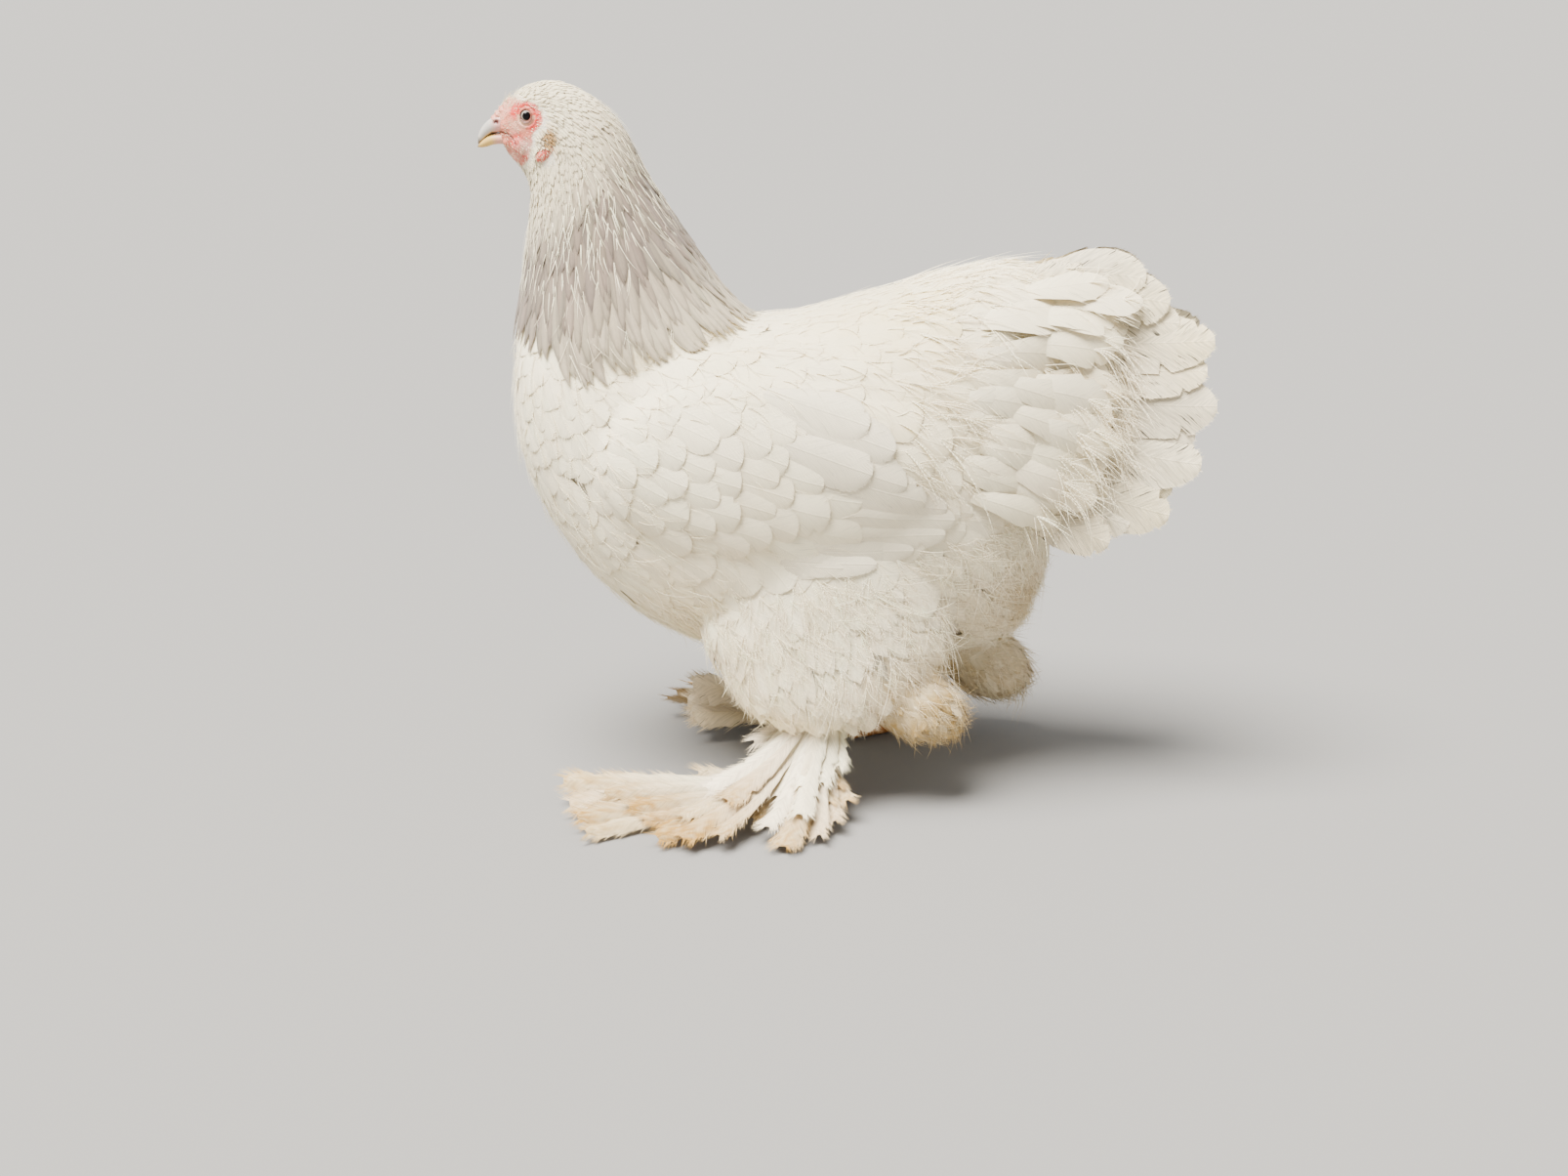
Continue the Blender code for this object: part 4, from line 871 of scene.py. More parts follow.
def leafy(t):
    """The same for a soft feather, widest past its middle."""
    return np.clip(0.35 + 1.1 * t, 0, 1) * np.sqrt(np.clip(1 - np.clip((t - 0.45) / 0.56, 0, 1) ** 1.8, 0.01, 1))


def blunt(t):
    """The same for a stiff boot feather, widening to a worn, squarish end."""
    return (0.38 + 0.70 * t) * np.sqrt(np.clip(1 - np.clip((t - 0.80) / 0.205, 0, 1) ** 2.6, 0.03, 1))


# Where a feather is cut across its width, as shares of the half width
FIVE_ACROSS, SEVEN_ACROSS = (-1, -0.5, 0, 0.5, 1), (-1, -0.8, -0.4, 0, 0.4, 0.8, 1)


def vanes(points, normals, half, profile, colour, rng, across_at=FIVE_ACROSS, lift=(0.0, 0.0, 0.0),
          crown=0.10, thick=0.0003, roll=0.10, sweep=0.45, ragged=0.05, splits=0.0, fringe=(1, 1, 1, 1),
          stain=None, layer=0.0006, worn_from=0.45, leg=None, comb=None, over=None):
    """Feathers along laid lines, each a closed thin lens, flat below and arched above.

    Lift is the height at the root, its change to the tip and an extra bend. Ragged and splits
    roughen the edge, and comb is how many barb ends stick out of it, how far and how thick. Fringe
    is the tone at the shaft, halfway, near the edge and at the rim: the hackle's own markings, and
    on the other feathers darker rims are painted shade along their edges. Stain is a tip's colour
    and how much of it. Over is the surface that the whole width of each feather follows.
    """
    number, count = points.shape[:2]
    t = stations(count)
    along = unit(np.gradient(points, axis=1))
    across = unit(np.cross(along, normals))
    up = np.cross(across, along)
    column = np.array(across_at, float)
    columns = len(column)
    width = half[:, None] * profile(t)[None, :]
    sides = 1 + ragged * rng.normal(size=(number, count, 2))
    if splits:
        cut = (rng.random((number, count, 2)) < splits) & (t > 0.5)[None, :, None]
        sides = np.where(cut, sides * rng.uniform(0.62, 0.88, (number, count, 2)), sides)
    sides = np.where(column[None, None, :] < 0, sides[..., :1], sides[..., 1:])
    reach = width[..., None] * column * (1 + (sides - 1) * np.abs(column) ** 1.5)
    slant = np.abs(reach) * sweep * (1 - t**3)[None, :, None]
    height = np.atleast_2d(lift[0] + lift[1] * t + lift[2] * t**2)
    height = height + rng.random((number, 1)) * layer * (0.3 + t)[None, :]
    height = height + lift[1] * rng.uniform(-0.12, 0.12, (number, 1)) * t[None, :]
    bend = rng.normal(0, roll, (number, 1, 1)) * reach - crown * np.abs(reach) * np.abs(column)
    top = points[:, :, None, :] + across[:, :, None, :] * reach[..., None]
    top = top + along[:, :, None, :] * slant[..., None]
    rise_by = np.broadcast_to(up[:, :, None, :], top.shape)
    if over is not None:
        met = [over.find_nearest(place)[:2] for place in top.reshape(-1, 3)]
        rise_by = unit(rise_by * 0.5 + np.array([normal for _, normal in met]).reshape(top.shape) * 0.5)
        top = np.array([place for place, _ in met]).reshape(top.shape)
    top = top + rise_by * (height[..., None] + bend + (1 - column**2) * thick)[..., None]
    ids = np.arange(count * columns).reshape(count, columns)
    a, b, c, d = ids[:-1, :-1], ids[:-1, 1:], ids[1:, 1:], ids[1:, :-1]
    above = np.stack([np.stack([a, b, c], -1), np.stack([a, c, d], -1)], -2).reshape(-1, 3)
    a, b, c, d = ids[:-1, 0], ids[:-1, -1], ids[1:, -1], ids[1:, 0]
    below = np.vstack([np.stack([c, b, a], -1), np.stack([d, c, a], -1)])
    ends = [(ids[0, k + 1], ids[0, k], ids[0, 0]) for k in range(1, columns - 1)]
    ends += [(ids[-1, 0], ids[-1, k], ids[-1, k + 1]) for k in range(1, columns - 1)]
    faces = np.vstack([above, below, np.array(ends)])
    # Tone across each feather from fringe: the hackle's own markings, and on the other feathers rims painted darker
    # as painted shade along their edges
    rim = np.maximum(np.abs(column)[None, :], (t**6)[:, None])
    shades = np.interp(rim, (0, 0.45, 0.84, 1.0), fringe)
    tints = colour[:, None, :] * shades.reshape(-1)[None, :, None]
    if stain is not None:
        far = np.clip((t - worn_from) / (0.95 - worn_from), 0, 1)
        far = np.broadcast_to(far[:, None], (count, columns)).reshape(-1)
        far = far[None, :] * np.broadcast_to(stain[1], number)[:, None]
        far = np.clip(far * rng.uniform(0.75, 1.2, far.shape), 0, 1)[..., None]
        tints = tints * (1 - far) + np.asarray(stain[0]) * far
    lengths = np.linalg.norm(np.diff(points, axis=1), axis=2).sum(1)
    # The whole part of u tells one feather from the next
    u = reach / 0.1 + 0.5 + rng.integers(0, 40, (number, 1, 1))
    v = np.broadcast_to((t[None, :] * lengths[:, None] / 0.1)[..., None], u.shape)
    vane_uv = np.stack([u, v], -1)
    patch = np.stack(np.broadcast_arrays(column[None, :] * 0.5, t[:, None] - 0.5), -1).reshape(-1, 2) * PATCH
    bake_uv = unwrap(points[:, 0], leg)[:, None, :] + patch[None]
    offsets = (np.arange(number) * count * columns)[:, None, None]
    made = [top.reshape(-1, 3), (faces[None] + offsets).reshape(-1, 3), tints.reshape(-1, 3), vane_uv.reshape(-1, 2),
            bake_uv.reshape(-1, 2)]
    if comb is None:
        return made
    ends, reach_out, thickness, *late = comb
    where = (0.2 + 0.8 * rng.uniform(0, 1, (number, ends)) ** (late[0] if late else 0.55)) * (count - 1)
    low = np.minimum(where.astype(int), count - 2)
    part = (where - low)[..., None]
    edge = rng.integers(0, 2, (number, ends)) * (columns - 1)
    row = np.arange(number)[:, None]
    rim_at = top[row, low, edge] * (1 - part) + top[row, low + 1, edge] * part
    aside = np.sign(column[edge]) * rng.uniform(0.15, 0.85, edge.shape)
    aim = unit(along[row, low] + across[row, low] * aside[..., None])
    aside = np.cross(aim, up[row, low])
    size = reach_out * rng.uniform(0.3, 1.2, edge.shape)[..., None]
    foot = rim_at - aim * size * 0.7
    corners = np.stack([foot - aside * thickness, foot + aside * thickness, foot + up[row, low] * thickness * 0.7,
                        rim_at + aim * size], 2)
    four = np.arange(number * ends)[:, None, None] * 4 + np.array(((0, 1, 2), (0, 3, 1), (1, 3, 2), (2, 3, 0)))[None]
    made[1] = np.vstack([made[1], four.reshape(-1, 3) + len(made[0])])
    made[0] = np.vstack([made[0], corners.reshape(-1, 3)])
    index = (row * count + low) * columns + edge
    for k in (2, 3, 4):
        made[k] = np.vstack([made[k], np.repeat(made[k][index.ravel()], 4, axis=0)])
    return made


def barbs(roots, normals, headings, length, colour, rng, count=6, fan=0.5, width=0.00045, rise=0.25,
          curl=0.25, rings=3, stain=None, fall=0.0):
    """Tufts of loose barbs: thin tapering blades that spread from each root, bend over and fall."""
    roots, normals, headings, colour = (np.repeat(a, count, axis=0) for a in (roots, normals, headings, colour))
    number = len(roots)
    length = np.repeat(length, count) * rng.uniform(0.6, 1.15, number)
    way = unit(headings - normals * (headings * normals).sum(1, keepdims=True))
    across = np.cross(way, normals)
    angle = rng.normal(0, fan, number)[:, None]
    lift = np.clip(rng.normal(rise, rise * 0.6, number), -0.1, 1.4)[:, None]
    start = unit(way * np.cos(angle) + across * np.sin(angle) + normals * lift)
    turn = across * rng.normal(0, curl, number)[:, None] - normals * (lift * 0.9 + 0.05)
    down = np.array((0.0, 0.0, -1.0)) + normals * normals[:, 2:]
    turn = turn + down * (fall * rng.uniform(0.5, 1.5, number))[:, None]
    t = np.linspace(0, 1, rings + 1)
    size = length[:, None, None]
    line = (
        roots[:, None, :]
        + start[:, None, :] * size * t[None, :, None]
        + turn[:, None, :] * size * (t**2)[None, :, None] * 0.5
    )
    along = unit(np.gradient(line, axis=1))
    side = unit(np.cross(along, normals[:, None, :]))
    up = np.cross(side, along)
    radius = (width * (1 - 0.8 * t[:-1]))[None, :, None] * rng.uniform(0.7, 1.3, (number, 1, 1))
    body = line[:, :-1]
    aside, above = side[:, :-1] * radius, up[:, :-1] * radius * 0.7
    ring = np.stack([body - aside, body + aside, body + above], axis=2)
    verts = np.concatenate([ring.reshape(number, -1, 3), line[:, -1:]], axis=1)
    faces = [(0, 1, 2)]
    for i in range(rings - 1):
        for k in range(3):
            a, b = 3 * i + k, 3 * i + (k + 1) % 3
            faces += [(a, a + 3, b), (b, a + 3, b + 3)]
    end = 3 * rings
    faces += [(end - 3 + k, end, end - 3 + (k + 1) % 3) for k in range(3)]
    faces = np.array(faces)
    shares = np.concatenate([np.repeat(t[:-1], 3), [1.0]])
    tints = np.repeat(colour[:, None, :], len(shares), axis=1)
    if stain is not None:
        much = np.repeat(np.broadcast_to(stain[1], number // count), count)
        far = (much[:, None] * (0.35 + 0.65 * shares[None, :]))[..., None]
        tints = tints * (1 - far) + np.asarray(stain[0]) * far
    vane_uv = np.stack([np.full(shares.shape, 0.5), shares * 0.2], -1)
    vane_uv = np.broadcast_to(vane_uv[None], (number, len(shares), 2))
    patch = np.stack([np.tile([-0.5, 0.5, 0.0], rings).tolist() + [0.0], shares - 0.5], -1) * PATCH
    bake_uv = np.repeat(unwrap(roots[::count]), count, axis=0)[:, None, :] + patch[None]
    offsets = (np.arange(number) * verts.shape[1])[:, None, None]
    return (
        verts.reshape(-1, 3),
        (faces[None] + offsets).reshape(-1, 3),
        tints.reshape(-1, 3),
        vane_uv.reshape(-1, 2),
        bake_uv.reshape(-1, 2),
    )


def plumage(name, groups, material, nodes=(), parted=0.5):
    """One piece of coat from groups of feathers, riding on the body; parted is how strongly the barbs' streaks and
    the painted shade of their slits show.
    """
    base, verts, faces, tints, vane_uv, bake_uv = 0, [], [], [], [], []
    for group in groups:
        verts.append(group[0])
        faces.append(group[1] + base)
        tints.append(group[2])
        vane_uv.append(group[3])
        bake_uv.append(group[4])
        base += len(group[0])
    verts, faces, tints = np.vstack(verts), np.vstack(faces), np.vstack(tints)
    verts[:, 2] = np.maximum(verts[:, 2], 0.0006)
    mesh = bpy.data.meshes.new(name)
    mesh.vertices.add(len(verts))
    mesh.vertices.foreach_set("co", verts.ravel())
    mesh.loops.add(faces.size)
    mesh.loops.foreach_set("vertex_index", faces.ravel())
    mesh.polygons.add(len(faces))
    mesh.polygons.foreach_set("loop_start", np.arange(0, faces.size, 3))
    mesh.update(calc_edges=True)
    mesh.polygons.foreach_set("use_smooth", np.ones(len(faces), bool))
    for layer_name, uv in (("OFBake", np.vstack(bake_uv)), ("Vane", np.vstack(vane_uv))):
        layer = mesh.uv_layers.new(name=layer_name)
        layer.data.foreach_set("uv", uv[faces.ravel()].ravel())
    paint(mesh, np.clip(tints, 0, 0.95), parted)
    mesh.set_sharp_from_angle(angle=math.radians(70))
    made = bpy.data.objects.new(name, mesh)
    bpy.context.scene.collection.objects.link(made)
    made.data.materials.append(material)
    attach(made, "root")
    if nodes:
        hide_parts(*nodes)


# Feather keratin: barbs slant off the shaft and hook together into a matt, slightly silky sheet that
# parts here and there. Real barbs stand 0.5 mm apart; they are drawn 1.4 mm apart so that they show.
# The Vane map's unit is a tenth of a metre.
BARB_GAP = 0.014
feather, tree, shader = finish_of("feather_keratin")
tint = add_node(tree, "ShaderNodeAttribute", {"attribute_name": "Tint"})
own = add_node(tree, "ShaderNodeUVMap", {"uv_map": "Vane"})
parts = add_node(tree, "ShaderNodeSeparateXYZ", Vector=own.outputs["UV"])
lot = maths(tree, "FLOOR", parts.outputs["X"])
centred = maths(tree, "SUBTRACT", maths(tree, "SUBTRACT", parts.outputs["X"], lot), 0.5)
aside = maths(tree, "ABSOLUTE", centred)
slanted = maths(tree, "MULTIPLY_ADD", aside, -1.1, parts.outputs["Y"])
place = add_node(tree, "ShaderNodeTexCoord")
wander = add_node(tree, "ShaderNodeTexNoise", Vector=place.outputs["Object"], Scale=90.0, Detail=3.0)
drift = maths(tree, "MULTIPLY_ADD", wander.outputs["Fac"], 0.05, slanted)
wave = maths(tree, "SINE", maths(tree, "MULTIPLY", drift, math.tau / BARB_GAP))
# Streaks run along the barbs: bundles 1 to 4 mm wide, lighter and darker, and slits where they part, painted darker
# as the shade in each gap
along_barb = add_node(tree, "ShaderNodeCombineXYZ", X=maths(tree, "MULTIPLY", drift, 42.0),
                      Y=maths(tree, "MULTIPLY", centred, 7.0), Z=maths(tree, "MULTIPLY", lot, 3.7))
streak = add_node(tree, "ShaderNodeTexNoise", Vector=along_barb.outputs["Vector"], Scale=1.0, Detail=3.0)
slit_shade = add_node(tree, "ShaderNodeMapRange", {"interpolation_type": "SMOOTHSTEP"}, Value=streak.outputs["Fac"],
                From_Min=0.585, From_Max=0.66, To_Min=0.0, To_Max=0.80)
outer = add_node(tree, "ShaderNodeMapRange", Value=aside, From_Min=0.02, From_Max=0.09)
parted = maths(tree, "MULTIPLY", slit_shade.outputs["Result"], outer.outputs["Result"])
bundle = maths(tree, "MULTIPLY_ADD", streak.outputs["Fac"], 1.0, -0.5)
whole = maths(tree, "MULTIPLY_ADD", maths(tree, "SUBTRACT", bundle, parted), tint.outputs["Alpha"], 1.0)
# The shaft, under a millimetre wide
shaft = add_node(tree, "ShaderNodeMapRange", {"interpolation_type": "SMOOTHSTEP"}, Value=aside,
                 From_Min=0.003, From_Max=0.008, To_Min=1.0, To_Max=0.0)
ridge = maths(tree, "MULTIPLY_ADD", shaft.outputs["Result"], 2.0, wave)
relief = maths(tree, "MULTIPLY_ADD", streak.outputs["Fac"], 3.0, ridge)
bump = add_node(tree, "ShaderNodeBump", Strength=0.40, Distance=0.0005, Height=relief)
faint = maths(tree, "MULTIPLY_ADD", wave, 0.022, whole)
mottle = add_node(tree, "ShaderNodeTexNoise", Vector=place.outputs["Object"], Scale=38.0, Detail=4.0)
soft = add_node(tree, "ShaderNodeMapRange", Value=mottle.outputs["Fac"], To_Min=0.93, To_Max=1.04)
level = maths(tree, "MULTIPLY", faint, soft.outputs["Result"])
barb_tone_and_slit_shade = add_node(tree, "ShaderNodeVectorMath", {"operation": "SCALE"}, _0=tint.outputs["Color"], Scale=level)
tree.links.new(barb_tone_and_slit_shade.outputs["Vector"], shader.inputs["Base Color"])
tree.links.new(bump.outputs["Normal"], shader.inputs["Normal"])
shader.inputs["Roughness"].default_value = 0.72
shader.inputs["Specular IOR Level"].default_value = 0.35
shader.inputs["Sheen Weight"].default_value = 0.15
shader.inputs["Sheen Roughness"].default_value = 0.5

skin_tree, skin_triangles = surface_of(skin)
WHITE, CREAM, LAVENDER = linear("#FAEDCB"), linear("#F6E7C2"), linear("#7E6F5F")


def dyed(points, rng, base, spread=0.04):
    """A feather's own colour: the flock's, a little lighter, darker or creamier."""
    colour = np.broadcast_to(np.asarray(base), (len(points), 3)) * (1 + rng.normal(0, spread, (len(points), 1)))
    return colour * (1 + rng.normal(0, spread * 0.3, (len(points), 3)))


def neck_share(points):
    """0 on the head, 1 at the hackle's lowest tier: place along the neck."""
    back, front = np.array([(r[0], r[1]) for r in NECK]), np.array([(r[2], r[3]) for r in NECK])
    middle = (back + front) / 2
    at = np.array([np.argmin(((middle - p) ** 2).sum(1)) for p in points[:, (0, 2)]])
    side = unit(front - back)
    across = np.stack([-side[:, 1], side[:, 0]], 1)
    step = ((points[:, (0, 2)] - middle[at]) * across[at]).sum(1)
    gap = np.linalg.norm(np.gradient(middle, axis=0), axis=1)[at]
    sign = np.sign(((np.gradient(middle, axis=0)[at]) * across[at]).sum(1))
    return (at + step * sign / gap - 3.0) / 11.0


def on_head(p):
    """Where the head's feathers grow: not on the bare face, nor on the lobe under the ear."""
    grown = (p[:, 2] > 0.425) & (neck_share(p) < 0.55) & (p[:, 0] > -0.268)
    on_lobe = near(p * (1, 0, 1), (-0.2280, 0, 0.4834), (0.0075, 1, 0.0070))
    return grown * (1 - np.clip(face_share(p) * 1.5, 0, 1)) * (on_lobe < 0.42)


rng = np.random.default_rng(31)
BUFF, STAIN = linear("#B79656"), linear("#ECD9A0")
spots = sow(skin_triangles, on_head, lambda p: 0.0017 + 0.0030 * np.clip(neck_share(p), 0, 0.6), 5)
share = np.clip(neck_share(spots), 0, 1)
lengths = (0.0088 + 0.034 * share**1.2) * rng.uniform(0.8, 1.2, len(spots))
side_spots = right_half(spots)
# Behind the eye the feathers are shortest, and a buff tuft covers the ear
behind_eye = near(side_spots, (-0.2316, 0.018, 0.4984), (0.0060, 0.012, 0.0065))
ear = np.clip(2.0 * near(side_spots, (-0.2276, 0.020, 0.4966), (0.0042, 0.014, 0.0066)), 0, 1)
over_lobe = near(side_spots, (-0.2285, 0.020, 0.4865), (0.0075, 0.014, 0.0065))
lengths = lengths * (1 - 0.50 * behind_eye) * (1 - 0.62 * over_lobe)
lines, ups = lay(skin_tree, spots, flow(spots) + rng.normal(0, 0.06, (len(spots), 3)), lengths, 6)
grey = np.clip((share - 0.14) / 0.40, 0, 1)[:, None]
colour = dyed(spots, rng, CREAM, 0.025) * (1 - grey * 0.8) + dyed(spots, rng, LAVENDER, 0.05) * grey * 0.8
colour = colour * (1 - 0.95 * ear[:, None]) + np.asarray(linear("#A37A42")) * 0.95 * ear[:, None]
half = (0.0010 + 0.0034 * share) * rng.uniform(0.8, 1.2, len(spots))
# Rims painted a shade darker: painted shade along each feather's edge
crown_coat = vanes(lines, ups, half, leafy, colour, rng, over=skin_tree, across_at=(-1, 0, 1),
                   lift=(-0.0008, 0.0026, -0.0006), roll=0.12, crown=0.14, thick=0.0002, ragged=0.10,
                   fringe=(1.06, 1.0, 0.88, 0.84), layer=0.0005)
# Loose light barbs between them
strand_at = sow(skin_triangles, on_head, lambda p: 0.0030 + 0.0030 * np.clip(neck_share(p), 0, 0.6), 25)
strand_share = np.clip(neck_share(strand_at), 0, 1)
strand_up = upward(skin_tree, strand_at)
strand_way = flow(strand_at) + rng.normal(0, 0.12, (len(strand_at), 3))
strands = barbs(strand_at + strand_up * 0.0006, strand_up, strand_way, 0.005 + 0.016 * strand_share,
                dyed(strand_at, rng, WHITE), rng, count=2, fan=0.16, width=0.00026, rise=0.10, curl=0.2)


def bristle_share(p):
    """Where bristles stand on the face: thick on forehead and chin, sparse round the eye."""
    on_cheek = near(p * (1, 0, 1), (-0.245, 0, 0.500), (0.012, 1, 0.006)) > 0.5
    thick = 0.18 + (p[:, 2] > 0.5150) * 0.8 + (p[:, 2] < 0.4900) * 0.25 - on_cheek * 0.2
    return (face_share(p) > 0.3) * (p[:, 2] > 0.455) * np.clip(thick, 0.05, 1)


bristle_at = sow(skin_triangles, bristle_share, 0.0017, 8)
bristle_at = bristle_at[np.hypot(bristle_at[:, 0] - EYE.x, bristle_at[:, 2] - EYE.z) > 0.0075]
bristle_up = upward(skin_tree, bristle_at)
forehead = np.clip((bristle_at[:, 2] - 0.512) / 0.010, 0, 1)
bristles = barbs(bristle_at, bristle_up, flow(bristle_at), 0.0026 + 0.0074 * forehead, dyed(bristle_at, rng, CREAM),
                 rng, count=2, fan=0.30, width=0.00021, rise=0.48, curl=0.2)
plumage("head_feathers", [crown_coat, strands, bristles], feather, parted=0.2)


# Hackle
# Spear-shaped feathers in lavender grey, each with a darker line inside its pale rim, lying in
# tiers down the neck and falling in points over the white breast and shoulders.
rng = np.random.default_rng(17)


def on_neck(p):
    """Where hackle feathers are rooted: down to a line that is higher in front than at the side."""
    low = 0.87 - 0.20 * np.clip((-0.205 - p[:, 0]) / 0.035, 0, 1)
    share = neck_share(p)
    return ((share > 0.30) & (share < low) & (p[:, 0] < -0.04) & (p[:, 2] > 0.30)) * 1.0


spots = sow(form_triangles, on_neck, lambda p: 0.0044 + 0.0034 * np.clip(neck_share(p), 0, 1), 6)
share = np.clip(neck_share(spots), 0, 1.1)
lengths = (0.022 + 0.042 * share) * rng.uniform(0.84, 1.22, len(spots))
lines, ups = lay(form_tree, spots, flow(spots) + rng.normal(0, 0.06, (len(spots), 3)), lengths, 8)
half = (0.0030 + 0.0042 * share) * rng.uniform(0.88, 1.12, len(spots))
grey = (np.clip((share - 0.12) / 0.30, 0, 1) * (1 - 0.38 * np.clip((share - 0.66) / 0.16, 0, 1)))[:, None]
colour = dyed(spots, rng, CREAM, 0.03) * (1 - grey) + dyed(spots, rng, LAVENDER, 0.075) * grey
# The lowest tier lies clear of the white feathers
clear = 0.0020 * np.clip((share - 0.50) / 0.25, 0, 1)[:, None]
loose_at = sow(form_triangles, lambda p: on_neck(p) * (neck_share(p) < 0.8), 0.0070, 26)
loose_up = upward(form_tree, loose_at)
for word, side in (("left", -1), ("right", 1)):
    chosen = spots[:, 1] * side >= 0
    hackle = vanes(lines[chosen], ups[chosen], half[chosen], pointed, colour[chosen], rng, over=form_tree,
                   across_at=(-1, -0.8, -0.35, 0, 0.35, 0.8, 1), lift=(clear[chosen] - 0.0016, 0.0036, -0.0012),
                   roll=0.07, crown=0.10, ragged=0.05, splits=0.03, fringe=(1.14, 1.02, 0.60, 1.04),
                   layer=0.0007, sweep=0.7, comb=(14, 0.0022, 0.00018))
    part = loose_at[:, 1] * side >= 0
    at, up = loose_at[part], loose_up[part]
    strands = barbs(at + up * 0.0014, up, flow(at) + rng.normal(0, 0.10, at.shape), np.full(len(at), 0.022),
                    dyed(at, rng, WHITE, 0.04), rng, count=2, fan=0.14, width=0.00032, rise=0.07, curl=0.25,
                    rings=4)
    plumage(f"hackle_{word}", [hackle, strands], feather, parted=0.3)


# Breast, back and saddle
# Rounded white contour feathers, small and tight on breast and shoulder, larger and softer over
# back and saddle, each covering most of the next, with a few loose wisps.
rng = np.random.default_rng(41)


# Stains at the vent, the hocks and in faint patches on the back: place, reach and strength
STAINS = (
    (0.150, 0.05, 0.150, 0.020, 0.9), (0.064, 0.095, 0.070, 0.026, 1.3), (0.078, 0.08, 0.052, 0.030, 1.5),
    (0.150, 0.08, 0.045, 0.034, 0.75), (0.170, 0.06, 0.330, 0.022, 0.6), (-0.060, 0.09, 0.335, 0.030, 0.35),
    (0.130, 0.09, 0.120, 0.035, 0.6), (-0.150, 0.08, 0.340, 0.016, 0.4), (0.020, 0.05, 0.375, 0.045, 0.55),
    (0.080, 0.06, 0.380, 0.040, 0.5), (-0.120, 0.10, 0.160, 0.020, 0.3), (-0.045, 0.12, 0.250, 0.020, 0.25),
    (0.060, 0.10, 0.300, 0.040, 0.35),
)


def soiled(points):
    """How far the white is stained at points."""
    folded = right_half(points)
    return sum(much * near(folded, (x, y, z), 1.2 * reach) for x, y, z, reach, much in STAINS)


def fluff_line(p):
    """The height above which contour feathers take over from the fluff."""
    return np.interp(p[:, 0], (-0.25, -0.10, 0.0, 0.10, 0.16), (0.10, 0.150, 0.180, 0.20, 0.27))


def on_trunk(p):
    """Where contour feathers grow: not on the neck, nor on the wing, and less towards the fluff below."""
    y, z = np.abs(p[:, 1]), p[:, 2]
    neck = np.clip((neck_share(p) - 0.80) / 0.05, 0, 1)
    neck = np.where((p[:, 0] > -0.03) | (z < 0.30), 1, neck)
    wing = ((p[:, 0] + 0.056) / 0.105) ** 2 + ((z - 0.262) / 0.055) ** 2 + (y < 0.08) * 9
    return neck * np.clip((z - fluff_line(p)) / 0.02, 0, 1) * (wing > 0.8)


def trunk_spacing(p):
    return np.interp(p[:, 0], (-0.25, -0.15, -0.05, 0.05, 0.14), (0.0102, 0.0126, 0.0152, 0.0158, 0.0145))


def wisps(share, apart, seed, length, width, rng, curl=0.9, count=2, fan=0.10, fall=0.0, stain=None):
    """Long single barbs that have come loose and curl over the coat."""
    at = sow(form_triangles, share, apart, seed)
    up = upward(form_tree, at)
    way = flow(at) + rng.normal(0, 0.25, at.shape)
    return barbs(at + up * 0.0012, up, way, length * rng.uniform(0.5, 1.3, len(at)),
                 dyed(at, rng, WHITE, 0.02), rng, count=count, fan=fan, width=width, rise=0.10, curl=curl, rings=6,
                 fall=fall, stain=stain and (stain, np.clip(soiled(at), 0, 1)))


spots = sow(form_triangles, on_trunk, trunk_spacing, 12)
apart = trunk_spacing(spots)
lengths = apart * np.interp(spots[:, 0], (-0.1, 0.05, 0.13), (3.3, 3.6, 4.4)) * rng.uniform(0.85, 1.15, len(spots))
lines, ups = lay(form_tree, spots, flow(spots) + rng.normal(0, 0.08, (len(spots), 3)), lengths, 10)
half = apart * rng.uniform(0.85, 1.15, len(spots))
colour = dyed(spots, rng, WHITE, 0.012)
stained = np.clip(soiled(lines[:, -1]), 0, 1)
# Two pieces, parted where the back begins
for name, its_own in (("breast_feathers", lambda p: p[:, 0] < -0.07), ("back_feathers", lambda p: p[:, 0] >= -0.07)):
    chosen = its_own(spots)
    # Rims painted a shade darker: painted shade along each feather's edge
    coat = vanes(lines[chosen], ups[chosen], half[chosen], rounded, colour[chosen], rng, over=form_tree,
                 lift=(-0.0013, 0.0030, -0.0012), roll=0.02, crown=0.045, ragged=0.025, splits=0.02,
                 fringe=(1.0, 1.0, 0.995, 0.985), layer=0.0004, stain=(STAIN, stained[chosen]), worn_from=-0.2,
                 comb=(28, 0.0040, 0.00024))
    stray = wisps(lambda p: on_trunk(p) * its_own(p), 0.012, 27, 0.026, 0.00038, rng, fall=0.3)
    plumage(name, [coat, stray], feather, parted=0.28)


# Wings
# Folded wings: rows of scale-like coverts over the arm, small at the shoulder and broad behind,
# then the ends of the flight feathers laid on one another along the flank, upper ones outermost.
WING_MIDDLE, WING_SIZE = (-0.056, 0.262), (0.128, 0.070)
